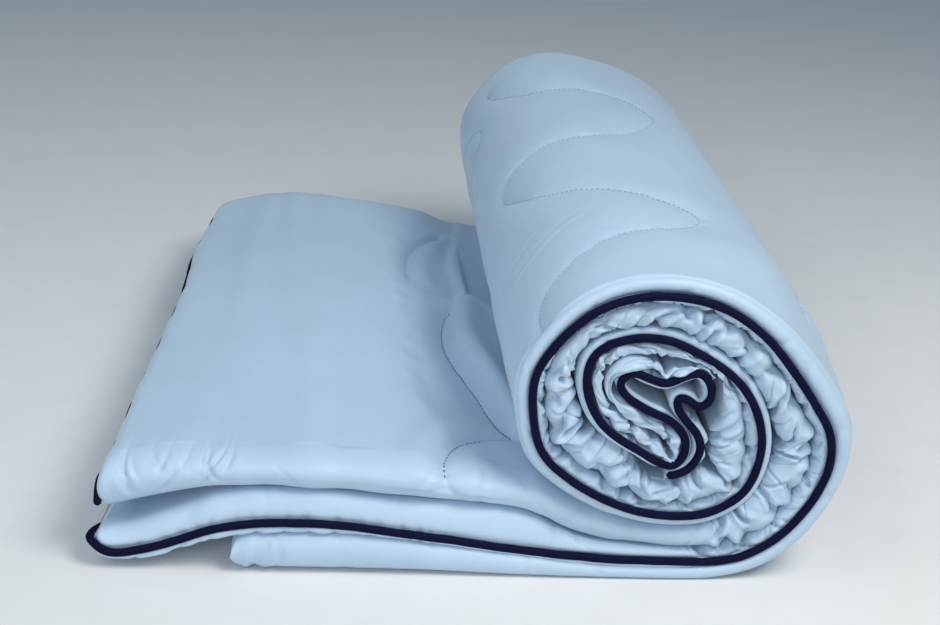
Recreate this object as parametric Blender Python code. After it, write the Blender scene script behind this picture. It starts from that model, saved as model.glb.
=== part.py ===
"""Infrared sauna blanket, folded lengthwise into three leaves and rolled up from one end.

Blender 4.5, metres, +Z up.  The roll lies along Y on its flat tail, and the tail runs out along -X.
The near end (-Y) shows the edges of the leaves: the bottom leaf and the top leaf end in folds, and the
middle leaf ends in a piped seam.  The bottom leaf holds the heater and its controller inlet.

The shape is one section in the XZ plane, carried along Y.  The section starts as the line of the piped
seam, from the tail into the middle of the roll.  The leaves lie on both sides of that line and fill the
space between its turns.
"""

import math

import bmesh
import bpy
from mathutils import Matrix, Vector

# Overall sizes
BLANKET_WIDTH = 0.760  # folded width, along Y, without the piping
ROLL_DIAMETER = 0.280
TAIL_LENGTH = 0.355  # from the roll's left side to the end of the flat tail
BOTTOM_LEAF_SETBACK = 0.122  # how much shorter the bottom leaf is than the tail

# Layers
FABRIC = 0.0009
FOIL = 0.0005
FILM = 0.0007
BUS_BAR = 0.0006
BUS_BAR_WIDTH = 0.014
PIPING_DIAMETER = 0.0076
CLEARANCE = 0.0003  # between neighbours that touch

# Leaves in the roll
OUTER_RIM = 0.0145  # seam line to the outer face of the bottom leaf, in the outer turn
CORE_RIM = 0.0066  # the same in the middle of the roll, where the leaves are squeezed
SEAM_TO_BOTTOM_LEAF = 0.36  # share of the rim that the middle leaf takes
SEAM_TO_TOP_LEAF = 0.29  # share of the inner side that the middle leaf takes
MOST_INNER = 0.040  # seam line to the inner face of the top leaf, where there is room
BEND_SHARE = 0.72  # a leaf reaches at most this share of a bend's radius into it

# Insets of what lies inside a leaf
BATTING_INSET = 0.006
HEATER_INSET = 0.045
HEATER_TAIL_MARGIN = 0.038  # from the bottom leaf's end to the heater
HEATER_CORE_MARGIN = 0.560  # from the roll's inner end to the heater

# The tail's plan
CORNER_RADIUS = 0.036  # the middle leaf's near corner
FOLD_GAP = 0.0012  # between the two sides of the line where the tail's upper leaves lift
END_PIPING_INSET = 0.002  # the top leaf's end piping, in from the faces that it closes

# Controller inlet and wiring, in the flat end of the bottom leaf
INLET_SIZE = Vector((0.022, 0.026, 0.009))
INLET_FROM_END = 0.020
INLET_WALL = 0.0016
INLET_BACK = 0.007
CONTACT_DIAMETER = 0.0024
CONTACT_SPACING = 0.006
CONTACT_STICKS_OUT = 0.011
LEAD_DIAMETER = 0.0018
BEYOND = 0.002  # how far a cutter passes the face that it cuts
CUTOUT_SIZE = Vector((0.006, 0.020, 0.005))
CUTOUT_AT = 0.62  # along the width
SENSOR_SIZE = Vector((0.006, 0.012, 0.004))

MM = 0.001
NOMINAL_DIAMETER = 0.280
NOMINAL_TAIL = 0.355
SCALE = ROLL_DIAMETER / NOMINAL_DIAMETER
ROLL_LEFT = -140  # the roll's left side on the section, in its millimetres

# The seam line, in millimetres on a roll 280 mm across, from the roll's foot.  First the tail, then
# one and three quarter turns, then the crumpled end in the middle.
TAIL_LINE = [
    (-495, 25), (-480, 17), (-454, 19), (-425, 27), (-395, 39), (-365, 45), (-325, 47), (-280, 46),
    (-236, 41), (-190, 36), (-150, 30),
]
ROLL_LINE = [
    (-100, 22), (-50, 17), (0, 15), (40, 16), (70, 25), (96, 46), (117, 78), (127, 112), (123, 141),
    (108, 166), (85, 197), (57, 228), (22, 251), (-18, 261), (-58, 258), (-88, 244), (-113, 219),
    (-130, 188), (-130, 154), (-120, 118), (-95, 93), (-54, 70), (-13, 60), (26, 63), (55, 83), (66, 118),
    (61, 152), (42, 184), (8, 209), (-26, 223), (-59, 222), (-82, 209), (-88, 186), (-80, 158),
    (-64, 138), (-36, 120),
]
CORE_LINE = [
    (-19, 110), (-8, 108), (0, 118), (0, 133), (-12, 148), (-36, 160), (-54, 172), (-60, 183), (-51, 193),
    (-36, 188), (-21, 184), (-6, 191), (6, 194), (16, 184), (17, 170), (9, 163), (-2, 170), (-10, 171),
    (-9, 161), (0, 149), (10, 137), (14, 124), (10, 113), (2, 98),
]
TOP_LEAF_STOPS = 0.140  # the top leaf ends this far before the seam line does
FOLD_AT = -190  # where the tail's upper leaves lift, in the same millimetres
FLAT_UP_TO = 34  # the underside is flat from the tail to here

# Heights of the tail in the same millimetres: x, bottom and top of the middle leaf, bottom and top
# of the top leaf.  The bottom leaf lies between the floor and the middle leaf.
TAIL_HEIGHTS = [
    (-495, 23, 27, 61, 90), (-488, 15, 29, 61, 92), (-480, 10, 31, 61, 94), (-454, 10, 38, 64, 97),
    (-425, 18, 50, 69, 99),
    (-395, 30, 64, 72, 100), (-365, 35, 72, 75, 101), (-325, 37, 74, 75, 101), (-280, 36, 72, 73, 100),
    (-236, 32, 68, 69, 97), (-190, 28, 65, 66, 93), (-150, 23, 60, 61, 88), (-117, 18, 53, 54, 83),
]
JOIN_FROM, JOIN_TO = -128, -88  # where the tail's heights give way to the roll's own fill

COLOURS = {
    "shell": (0.55, 0.69, 0.83, 1.0),
    "batting": (0.90, 0.90, 0.87, 1.0),
    "piping": (0.012, 0.012, 0.085, 1.0),
    "foil": (0.80, 0.81, 0.82, 1.0),
    "film": (0.03, 0.03, 0.03, 1.0),
    "copper": (0.80, 0.42, 0.24, 1.0),
    "plastic": (0.06, 0.06, 0.07, 1.0),
}
METALS = ("foil", "copper")


# ---------------------------------------------------------------- the section

def section_point(x, z):
    """A point of the section in metres.  The tail stretches with its own length."""
    if x < ROLL_LEFT:
        x_m = ROLL_LEFT * MM * SCALE + (x - ROLL_LEFT) * MM * TAIL_LENGTH / NOMINAL_TAIL
    else:
        x_m = x * MM * SCALE
    return Vector((x_m, z * MM * SCALE))


def smooth_line(points, step=0.001):
    """A centripetal Catmull-Rom curve through the points, as points about a step apart."""
    ends = [2 * points[0] - points[1], *points, 2 * points[-1] - points[-2]]
    line = []
    for p0, p1, p2, p3 in zip(ends, ends[1:], ends[2:], ends[3:]):
        t1 = math.sqrt((p1 - p0).length)
        t2 = t1 + math.sqrt((p2 - p1).length)
        t3 = t2 + math.sqrt((p3 - p2).length)
        count = max(2, round((p2 - p1).length / step))
        for k in range(count):
            t = t1 + (t2 - t1) * k / count
            a1 = p0 * ((t1 - t) / t1) + p1 * (t / t1)
            a2 = p1 * ((t2 - t) / (t2 - t1)) + p2 * ((t - t1) / (t2 - t1))
            a3 = p2 * ((t3 - t) / (t3 - t2)) + p3 * ((t - t2) / (t3 - t2))
            b1 = a1 * ((t2 - t) / t2) + a2 * (t / t2)
            b2 = a2 * ((t3 - t) / (t3 - t1)) + a3 * ((t - t1) / (t3 - t1))
            line.append(b1 * ((t2 - t) / (t2 - t1)) + b2 * ((t - t1) / (t2 - t1)))
    line.append(points[-1].copy())
    return line


def lengths_along(line):
    total, out = 0.0, [0.0]
    for a, b in zip(line, line[1:]):
        total += (b - a).length
        out.append(total)
    return out


def left_normals(line):
    """Unit normals on the left of the way the line runs, which is the inner side of the roll."""
    out = []
    for i in range(len(line)):
        along = line[min(i + 1, len(line) - 1)] - line[max(i - 1, 0)]
        out.append(Vector((-along.y, along.x)).normalized())
    return out


def bend_radius(line, i, reach):
    """Signed radius of the bend at a point: above 0 where it bends to the left."""
    a, b, c = line[max(i - reach, 0)], line[i], line[min(i + reach, len(line) - 1)]
    cross = (b - a).cross(c - b)
    if abs(cross) < 1e-12:
        return 1e3
    return (b - a).length * (c - b).length * (c - a).length / (2 * cross)


def averaged(values, reach, rounds=2):
    """The lowest value near each place, then smoothed."""
    last = len(values) - 1
    low = [min(values[max(i - reach, 0):i + reach + 1]) for i in range(last + 1)]
    for _ in range(rounds):
        low = [
            sum(low[max(i - reach, 0):i + reach + 1]) / len(low[max(i - reach, 0):i + reach + 1])
            for i in range(last + 1)
        ]
    return low


def height_at(x, column):
    """A tail height at x, in metres, straight between the rows of TAIL_HEIGHTS."""
    rows = [(section_point(r[0], 0).x, r[column] * MM * SCALE) for r in TAIL_HEIGHTS]
    if x <= rows[0][0]:
        return rows[0][1]
    for (x0, z0), (x1, z1) in zip(rows, rows[1:]):
        if x <= x1:
            return z0 + (z1 - z0) * (x - x0) / (x1 - x0)
    return rows[-1][1]


class Section:
    """Stations along the seam line, each with the faces of the three leaves on its normal."""

    def __init__(self):
        corners = [section_point(*p) for p in TAIL_LINE + ROLL_LINE + CORE_LINE]
        self.left_end = corners[0].x
        self.fold_x = section_point(FOLD_AT, 0).x
        self.fold_sides = [self.fold_x - FOLD_GAP / 2, self.fold_x + FOLD_GAP / 2]
        dense = smooth_line(corners)
        for x in self.fold_sides:
            dense = with_point_at(dense, x)
        self.along = lengths_along(dense)
        self.total = self.along[-1]
        normals = left_normals(dense)
        rim, inner = self.reaches(dense, normals)
        self.stations = self.pick(dense)
        self.line = [dense[i] for i in self.stations]
        self.s = [self.along[i] for i in self.stations]
        self.bottom, self.middle, self.top = [], [], []
        for i in self.stations:
            self.place_leaves(dense[i], normals[i], self.along[i], rim[i], inner[i])

    def reaches(self, dense, normals):
        """How far the leaves reach from the seam line, outwards and inwards, at each dense point."""
        coarse = range(0, len(dense), 4)
        near = 0.028 * SCALE
        core_at = lengths_along([section_point(*p) for p in TAIL_LINE + ROLL_LINE])[-1]
        turn_at = 0.55 * core_at
        rim, facing = [], []
        for i, p in enumerate(dense):
            share = min(1.0, max(0.0, (self.along[i] - turn_at) / (core_at - turn_at)))
            want = OUTER_RIM * SCALE * (1 - share) + CORE_RIM * SCALE * share
            radius = bend_radius(dense, i, 5)
            if radius < 0:
                want = min(want, -radius * BEND_SHARE)
            room = {1: (1e3, None), -1: (1e3, None)}
            for j in coarse:
                if abs(self.along[j] - self.along[i]) < near:
                    continue
                d = dense[j] - p
                across = d.dot(normals[i])
                side = 1 if across > 0 else -1
                ball = d.length_squared / (2 * abs(across) + 1e-9)
                if ball < room[side][0]:
                    room[side] = (ball, j)
            ball, j = room[-1]
            if j is not None and (p - dense[j]).dot(normals[j]) < 0:
                want = min(want, ball - CLEARANCE)
            rim.append(want)
            facing.append(room[1])
        rim = averaged(rim, 5)
        inner = []
        for i, p in enumerate(dense):
            ball, j = facing[i]
            want = MOST_INNER * SCALE
            if j is not None:
                if (p - dense[j]).dot(normals[j]) > 0:
                    want = min(want, ball - CLEARANCE)
                else:
                    want = min(want, 2 * ball - rim[j] - 2 * CLEARANCE)
            radius = bend_radius(dense, i, 5)
            if radius > 0:
                want = min(want, radius * BEND_SHARE)
            inner.append(max(want, 0.002))
        return rim, averaged(inner, 6)

    def pick(self, dense):
        """Stations: close together in tight bends and round the corner, and far apart on the flat."""
        folds = [
            min(range(len(dense)), key=lambda k: abs(dense[k].x - x) + dense[k].y) for x in self.fold_sides
        ]
        chosen = [0]
        while True:
            i = chosen[-1]
            radius = min(abs(bend_radius(dense, k, 6)) for k in range(i, min(i + 12, len(dense))))
            step = min(max(0.42 * radius, 0.0055), 0.026)
            if dense[i].x < self.left_end + CORNER_RADIUS:
                step = 0.0022 + 0.10 * self.along[i]
            target = self.along[i] + step
            if target > self.total - 0.5 * step:
                break
            following = next(k for k in range(i, len(dense)) if self.along[k] >= target)
            chosen.append(min([following, *[k for k in folds if k > i]]))
        if self.total - self.along[chosen[-1]] < 0.003:
            chosen.pop()
        return [*chosen, len(dense) - 1]

    def place_leaves(self, p, normal, s, rim, inner):
        """Puts the outer and inner face of each leaf on this station's normal."""
        faces = {
            "floor": p - normal * rim,
            "b_m": p - normal * rim * SEAM_TO_BOTTOM_LEAF,
            "m_t": p + normal * inner * SEAM_TO_TOP_LEAF,
            "m_t2": p + normal * inner * SEAM_TO_TOP_LEAF,
            "top": p + normal * inner,
        }
        x_from, x_to = section_point(JOIN_FROM, 0).x, section_point(JOIN_TO, 0).x
        on_tail = s < self.along_at_foot()
        if on_tail and p.x < x_to:
            share = min(1.0, (x_to - p.x) / (x_to - x_from))
            flat = {
                "floor": 0.0,
                "b_m": height_at(p.x, 1),
                "m_t": height_at(p.x, 2),
                "m_t2": height_at(p.x, 3),
                "top": height_at(p.x, 4),
            }
            for key, z in flat.items():
                faces[key] = faces[key].lerp(Vector((p.x, z)), share)
        if on_tail and p.x < section_point(FLAT_UP_TO, 0).x:
            faces["floor"].y = 0.0
        for point in faces.values():
            point.y = max(point.y, 0.0)
        half = CLEARANCE / 2
        self.bottom.append(narrowed(faces["floor"], faces["b_m"], 0.0, half))
        self.middle.append(narrowed(faces["b_m"], faces["m_t"], half, half))
        self.top.append(narrowed(faces["m_t2"], faces["top"], half, half))

    def along_at_foot(self):
        """Length along the line where the roll starts to rise from its foot."""
        return lengths_along([section_point(*p) for p in TAIL_LINE + ROLL_LINE[:5]])[-1]

    def index_at(self, s):
        return min(range(len(self.s)), key=lambda i: abs(self.s[i] - s))

    def index_at_tail_x(self, x):
        """The last station on the tail that is left of x."""
        tail = [i for i, p in enumerate(self.line) if p.x < x and self.s[i] < self.along_at_foot()]
        return tail[-1]


def with_point_at(line, x):
    """The line with a point added where the tail passes x."""
    k = next(i for i, p in enumerate(line) if p.x > x)
    share = (x - line[k - 1].x) / (line[k].x - line[k - 1].x)
    return [*line[:k], line[k - 1].lerp(line[k], share), *line[k:]]


def narrowed(outer, inner, cut_outer, cut_inner):
    across = (inner - outer).normalized()
    return outer + across * cut_outer, inner - across * cut_inner


# ---------------------------------------------------------------- making solids

def material(kind):
    found = bpy.data.materials.get(kind)
    if found:
        return found
    made = bpy.data.materials.new(kind)
    made.use_nodes = True
    shader = made.node_tree.nodes["Principled BSDF"]
    shader.inputs["Base Color"].default_value = COLOURS[kind]
    shader.inputs["Roughness"].default_value = 0.35 if kind in METALS else 0.75
    shader.inputs["Metallic"].default_value = 1.0 if kind in METALS else 0.0
    return made


def empty(name, place, parent=None):
    made = bpy.data.objects.new(name, None)
    parts.objects.link(made)
    made.location = place
    made.parent = parent
    return made


def add_object(name, data, kind, group):
    made = bpy.data.objects.new(name, data)
    parts.objects.link(made)
    data.materials.append(material(kind))
    made.parent = group
    made.matrix_parent_inverse = Matrix.Translation(-group.location)
    return made


def loft(name, rings, kind, group):
    """A closed solid through rings of matching points, capped at both ends."""
    bm = bmesh.new()
    rows = [[bm.verts.new(p) for p in ring] for ring in rings]
    count = len(rows[0])
    for a, b in zip(rows, rows[1:]):
        for k in range(count):
            n = (k + 1) % count
            bm.faces.new((a[k], a[n], b[n], b[k]))
    bm.faces.new(list(reversed(rows[0])))
    bm.faces.new(rows[-1])
    bmesh.ops.recalc_face_normals(bm, faces=bm.faces)
    mesh = bpy.data.meshes.new(name)
    bm.to_mesh(mesh)
    bm.free()
    return add_object(name, mesh, kind, group)


def depth(face, distance, from_inner=False):
    """The point of a leaf this far in from its outer face, or from its inner face."""
    outer, inner = face
    across = (inner - outer).normalized()
    return inner - across * distance if from_inner else outer + across * distance


def in_space(point, y):
    """A point of the section at this distance along the width."""
    return Vector((point.x, y, point.y))


def near_edge(sec, i):
    """Where the middle leaf starts along the width: it has a rounded corner at the tail's end."""
    x = sec.line[i].x - sec.left_end
    if x > CORNER_RADIUS or i > sec.index_at_tail_x(sec.fold_x):
        return LEAF_NEAR
    return LEAF_NEAR + CORNER_RADIUS - math.sqrt(CORNER_RADIUS**2 - (CORNER_RADIUS - x) ** 2)


def sheet(name, leaf, span, low, high, near, far, kind, group):
    """A layer inside a leaf.  low and high give its two faces as points of the section."""
    rings = []
    for i in span:
        a, b = low(leaf[i], i), high(leaf[i], i)
        rings.append([in_space(*corner) for corner in ((a, near), (b, near), (b, far), (a, far))])
    return loft(name, rings, kind, group)


def sleeve(name, leaf, span, group):
    """A cover that wraps a leaf's two faces and its near edge, and is open at the far edge."""
    rings = []
    for i in span:
        outer, inner = leaf[i]
        outer_in, inner_in = depth(leaf[i], FABRIC), depth(leaf[i], FABRIC, True)
        corners = [
            (outer, LEAF_FAR), (outer, LEAF_NEAR), (inner, LEAF_NEAR), (inner, LEAF_FAR),
            (inner_in, LEAF_FAR), (inner_in, LEAF_NEAR + FABRIC),
            (outer_in, LEAF_NEAR + FABRIC), (outer_in, LEAF_FAR),
        ]
        rings.append([in_space(*corner) for corner in corners])
    return loft(name, rings, "shell", group)


def half_cover(name, sec, leaf, span, inner_side, group):
    """One of the middle leaf's two fabrics, with its near edge turned down to the piped seam."""
    rings = []
    for i in span:
        face = leaf[i][1] if inner_side else leaf[i][0]
        back = depth(leaf[i], FABRIC, inner_side)
        towards = (face - leaf[i][0 if inner_side else 1]).normalized()
        seam = sec.line[i] + towards * CLEARANCE / 2
        near = near_edge(sec, i)
        corners = [(face, LEAF_FAR), (face, near), (seam, near)]
        corners += [(seam, near + FABRIC), (back, near + FABRIC), (back, LEAF_FAR)]
        rings.append([in_space(*corner) for corner in corners])
    return loft(name, rings, "shell", group)


def tube(name, points, diameter, kind, group, sides=2):
    curve = bpy.data.curves.new(name, "CURVE")
    curve.dimensions = "3D"
    curve.bevel_depth = diameter / 2
    curve.bevel_resolution = sides
    curve.use_fill_caps = True
    spline = curve.splines.new("POLY")
    spline.points.add(len(points) - 1)
    for target, p in zip(spline.points, points):
        target.co = (*p, 1.0)
    return add_object(name, curve, kind, group)


def box_mesh(name, size, place):
    bm = bmesh.new()
    bmesh.ops.create_cube(bm, size=1.0)
    bmesh.ops.scale(bm, vec=size, verts=bm.verts)
    bmesh.ops.translate(bm, vec=place, verts=bm.verts)
    mesh = bpy.data.meshes.new(name)
    bm.to_mesh(mesh)
    bm.free()
    return mesh


def rod_mesh(name, diameter, length, place):
    """A cylinder along Y, with the middle of its axis at place."""
    bm = bmesh.new()
    bmesh.ops.create_cone(
        bm, cap_ends=True, segments=16, radius1=diameter / 2, radius2=diameter / 2, depth=length,
        matrix=Matrix.Translation(place) @ Matrix.Rotation(math.pi / 2, 4, "X"),
    )
    mesh = bpy.data.meshes.new(name)
    bm.to_mesh(mesh)
    bm.free()
    return mesh


def cut(target, mesh):
    """Takes a helper shape out of a part."""
    helper = bpy.data.objects.new(mesh.name, mesh)
    cutters.objects.link(helper)
    helper.hide_render = True
    helper.display_type = "WIRE"
    helper.parent = target.parent
    helper.matrix_parent_inverse = target.matrix_parent_inverse
    boolean = target.modifiers.new(mesh.name, "BOOLEAN")
    boolean.operation = "DIFFERENCE"
    boolean.solver = "EXACT"
    boolean.object = helper


# ---------------------------------------------------------------- the blanket

SEAM_Y = PIPING_DIAMETER / 2
LEAF_NEAR = PIPING_DIAMETER + CLEARANCE
LEAF_FAR = LEAF_NEAR + BLANKET_WIDTH
PIPING_OUT = PIPING_DIAMETER / 2 + CLEARANCE  # from an edge to the middle of its piping
INSIDE = FABRIC + CLEARANCE
FILM_DEPTH = INSIDE + BUS_BAR + CLEARANCE
FOIL_DEPTH = FILM_DEPTH + FILM + CLEARANCE
STACK_DEPTH = FOIL_DEPTH + FOIL + CLEARANCE


def layer(top, bottom):
    """The two faces at these depths below a leaf's inner face."""
    return (lambda leaf, i: depth(leaf, bottom, True)), (lambda leaf, i: depth(leaf, top, True))


def filling(name, leaf, span, low, high, group):
    near, far = LEAF_NEAR + BATTING_INSET, LEAF_FAR - BATTING_INSET
    return sheet(name, leaf, span, low, high, near, far, "batting", group)


def inside_outer(leaf, i):
    return depth(leaf, INSIDE)


def inside_inner(leaf, i):
    return depth(leaf, INSIDE, True)


def make_bottom_leaf(sec):
    leaf = sec.bottom
    start = sec.index_at_tail_x(sec.left_end + BOTTOM_LEAF_SETBACK)
    sleeve("bottom_leaf_cover", leaf, range(start, len(sec.line)), centre)

    heat_from = sec.index_at_tail_x(sec.line[start].x + HEATER_TAIL_MARGIN) + 1
    heat_to = sec.index_at(sec.total - HEATER_CORE_MARGIN)

    def under_heater(faces, i):
        return depth(faces, STACK_DEPTH if i <= heat_to else INSIDE, True)

    filling("bottom_leaf_batting", leaf, range(heat_from, len(sec.line)), inside_outer, under_heater, centre)
    near, far = LEAF_NEAR + HEATER_INSET, LEAF_FAR - HEATER_INSET
    hot = range(heat_from, heat_to + 1)
    foil = layer(FOIL_DEPTH, FOIL_DEPTH + FOIL)
    film = layer(FILM_DEPTH, FILM_DEPTH + FILM)
    bar = layer(INSIDE, INSIDE + BUS_BAR)
    sheet("reflector_foil", leaf, hot, *foil, near, far, "foil", centre)
    sheet("heating_film", leaf, hot, *film, near, far, "film", centre)
    sheet("bus_bar_near", leaf, hot, *bar, near, near + BUS_BAR_WIDTH, "copper", centre)
    sheet("bus_bar_far", leaf, hot, *bar, far - BUS_BAR_WIDTH, far, "copper", centre)
    make_inlet(sec.line[start].x, leaf[heat_from][1], centre)


def make_middle_leaf(sec, fold, flap):
    for side, span, group in (
        ("flap", range(0, fold + 1), flap),
        ("roll", range(fold + 1, len(sec.line)), centre),
    ):
        half_cover(f"middle_leaf_{side}_outer_fabric", sec, sec.middle, span, False, group)
        half_cover(f"middle_leaf_{side}_inner_fabric", sec, sec.middle, span, True, group)
        padded = [i for i in span if near_edge(sec, i) == LEAF_NEAR]
        filling(f"middle_leaf_{side}_batting", sec.middle, padded, inside_outer, inside_inner, group)


def make_top_leaf(sec, fold, flap):
    last = sec.index_at(sec.total - TOP_LEAF_STOPS)
    for name, span, group in (
        ("top_leaf_flap", range(0, fold + 1), flap),
        ("top_leaf_roll", range(fold + 1, last + 1), centre),
    ):
        sleeve(f"{name}_cover", sec.top, span, group)
        filling(f"{name}_batting", sec.top, span, inside_outer, inside_inner, group)


def make_inlet(left, bar_face, group):
    """The controller inlet in the far edge of the bottom leaf's end, with its leads to the heater."""
    size = INLET_SIZE
    spot = Vector((left + INLET_FROM_END, LEAF_FAR - size.y / 2, INSIDE + size.z / 2))
    housing = add_object("inlet_housing", box_mesh("inlet_housing", size, spot), "plastic", group)
    room = Vector((size.x - 2 * INLET_WALL, size.y - INLET_BACK + BEYOND, size.z - 2 * INLET_WALL))
    mouth = spot + Vector((0, (size.y - room.y) / 2 + BEYOND, 0))
    cut(housing, box_mesh("inlet_socket", room, mouth))

    inset = HEATER_INSET + BUS_BAR_WIDTH / 2
    back_y = spot.y - size.y / 2
    length = INLET_BACK + CONTACT_STICKS_OUT
    bar_z = bar_face.y - INSIDE - BUS_BAR / 2
    ends = (("near", LEAF_NEAR + inset), ("sensor", (LEAF_NEAR + LEAF_FAR) / 2), ("far", LEAF_FAR - inset))
    for k, (name, y) in enumerate(ends):
        x = spot.x + (k - 1) * CONTACT_SPACING
        place = Vector((x, back_y + length / 2, spot.z))
        pin = rod_mesh(f"inlet_contact_{name}", CONTACT_DIAMETER, length, place)
        add_object(f"inlet_contact_{name}", pin, "copper", group)
        cut(housing, rod_mesh(f"bore_{name}", CONTACT_DIAMETER + 2 * CLEARANCE, 3 * length, place))
        start = Vector((x, back_y - CLEARANCE, spot.z))
        corner = Vector((x, y, spot.z))
        end = Vector((bar_face.x - LEAD_DIAMETER / 2 - CLEARANCE, y, bar_z - LEAD_DIAMETER / 2))
        if name == "near":
            middle = LEAF_NEAR + BLANKET_WIDTH * CUTOUT_AT
            half = CUTOUT_SIZE.y / 2
            cutout = box_mesh("thermal_cutout", CUTOUT_SIZE, Vector((x, middle, spot.z)))
            add_object("thermal_cutout", cutout, "plastic", group)
            before = Vector((x, middle + half + CLEARANCE, spot.z))
            tube("lead_to_cutout", [start, before], LEAD_DIAMETER, "plastic", group, 1)
            start = Vector((x, middle - half - CLEARANCE, spot.z))
            name = "from_cutout"
        if name == "sensor":
            size = SENSOR_SIZE
            place = Vector((bar_face.x - size.x / 2 - CLEARANCE, y, bar_z - size.z / 2))
            add_object("temperature_sensor", box_mesh("temperature_sensor", size, place), "plastic", group)
            end = place - Vector((size.x / 2 + LEAD_DIAMETER / 2 + CLEARANCE, 0, 0))
        tube(f"lead_{name}", [start, corner, end], LEAD_DIAMETER, "plastic", group, 1)


def make_piping(sec, fold, middle_flap, top_flap):
    seam = [in_space(p, SEAM_Y) for p in sec.line]
    tube("roll_piping", seam[fold + 1:], PIPING_DIAMETER, "piping", centre)

    turn = Vector((sec.left_end + CORNER_RADIUS, LEAF_NEAR + CORNER_RADIUS))
    reach = CORNER_RADIUS + PIPING_OUT
    end_z = sec.line[0].y
    points = [in_space(Vector((sec.left_end - PIPING_OUT, end_z)), LEAF_FAR)]
    for k in range(11):
        a = math.radians(180 + 9 * k)
        x, y = turn.x + reach * math.cos(a), turn.y + reach * math.sin(a)
        points.append(in_space(Vector((x, line_height(sec, x))), y))
    points += [p for p, q in zip(seam[:fold + 1], sec.line) if q.x > turn.x + 0.004]
    tube("middle_leaf_flap_piping", points, PIPING_DIAMETER, "piping", middle_flap)

    x = sec.left_end - PIPING_OUT
    low, high = sec.top[0][0].y + END_PIPING_INSET, sec.top[0][1].y - END_PIPING_INSET
    radius = (high - low) / 2
    bend_y = LEAF_NEAR + END_PIPING_INSET + radius
    points = [in_space(Vector((x, high)), LEAF_FAR)]
    for k in range(11):
        a = math.radians(90 + 18 * k)
        height = (low + high) / 2 + radius * math.sin(a)
        points.append(in_space(Vector((x, height)), bend_y + radius * math.cos(a)))
    points.append(in_space(Vector((x, low)), LEAF_FAR))
    tube("top_leaf_flap_end_piping", points, PIPING_DIAMETER, "piping", top_flap)


def line_height(sec, x):
    """Height of the seam line on the tail at x."""
    if x <= sec.line[0].x:
        return sec.line[0].y
    k = next(i for i, p in enumerate(sec.line) if p.x >= x)
    a, b = sec.line[k - 1], sec.line[k]
    return a.y + (b.y - a.y) * (x - a.x) / (b.x - a.x)


def centre_on_origin(root):
    """Puts the middle of the whole object's footprint at the origin."""
    bpy.context.view_layer.update()
    corners = [
        thing.matrix_world @ Vector(corner)
        for thing in parts.all_objects if thing.type != "EMPTY" for corner in thing.bound_box
    ]
    for axis in (0, 1):
        values = [c[axis] for c in corners]
        root.location[axis] = -(min(values) + max(values)) / 2
    root.location.z = -min(c.z for c in corners)


for old in list(bpy.data.objects):
    bpy.data.objects.remove(old)
parts = bpy.data.collections.new("infrared_sauna_blanket")
cutters = bpy.data.collections.new("cutters")
bpy.context.scene.collection.children.link(parts)
bpy.context.scene.collection.children.link(cutters)

section = Section()
fold_at = next(i for i, p in enumerate(section.line) if abs(p.x - section.fold_sides[0]) < 1e-6)
centre = empty("centre", Vector())
top_hinge = empty("top_leaf_hinge", in_space(Vector((section.fold_x, section.top[fold_at][1].y)), 0), centre)
middle_at = Vector((section.fold_x, section.middle[fold_at][1].y))
middle_hinge = empty("middle_leaf_hinge", in_space(middle_at, 0), centre)

make_bottom_leaf(section)
make_middle_leaf(section, fold_at, middle_hinge)
make_top_leaf(section, fold_at, top_hinge)
make_piping(section, fold_at, middle_hinge, top_hinge)
centre_on_origin(centre)
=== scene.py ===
"""Looks of the infrared sauna blanket: quilted leaves, piped seam, stitching, materials, floor, lights and camera.

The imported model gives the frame.  Each leaf is one closed padded mesh that follows the piped seam from the
flat tail into the roll, with folds, puckers and quilting pressed into it.  Metres, +Z up.
"""

import math

import bpy
import numpy as np
from bpy.props import FloatProperty, FloatVectorProperty, PointerProperty
from mathutils import Matrix, Vector
from mathutils.bvhtree import BVHTree


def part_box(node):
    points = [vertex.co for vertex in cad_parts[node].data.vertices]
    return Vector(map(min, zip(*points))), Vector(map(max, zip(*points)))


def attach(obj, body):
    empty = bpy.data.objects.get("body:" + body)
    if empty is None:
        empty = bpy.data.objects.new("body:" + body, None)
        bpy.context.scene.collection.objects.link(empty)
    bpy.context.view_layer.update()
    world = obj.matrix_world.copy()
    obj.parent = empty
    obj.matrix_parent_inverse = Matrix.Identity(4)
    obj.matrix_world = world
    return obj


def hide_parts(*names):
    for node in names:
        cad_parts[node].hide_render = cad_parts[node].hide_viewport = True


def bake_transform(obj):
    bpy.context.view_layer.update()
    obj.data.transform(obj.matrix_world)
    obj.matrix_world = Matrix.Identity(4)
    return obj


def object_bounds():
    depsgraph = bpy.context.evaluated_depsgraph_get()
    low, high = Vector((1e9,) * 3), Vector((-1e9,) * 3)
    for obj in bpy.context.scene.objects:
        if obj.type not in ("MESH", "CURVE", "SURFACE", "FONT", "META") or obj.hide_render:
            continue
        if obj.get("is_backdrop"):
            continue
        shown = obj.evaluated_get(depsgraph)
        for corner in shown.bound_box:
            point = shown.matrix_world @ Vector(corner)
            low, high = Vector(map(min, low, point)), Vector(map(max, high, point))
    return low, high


bl_info = {
    "name": "Sauna Blanket",
    "version": (1, 0, 0),
    "blender": (4, 5, 0),
    "location": "View3D > Sidebar > Blanket",
    "description": "Builds a folded and rolled quilted sauna blanket with piped edges",
    "category": "Add Mesh",
}

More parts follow.
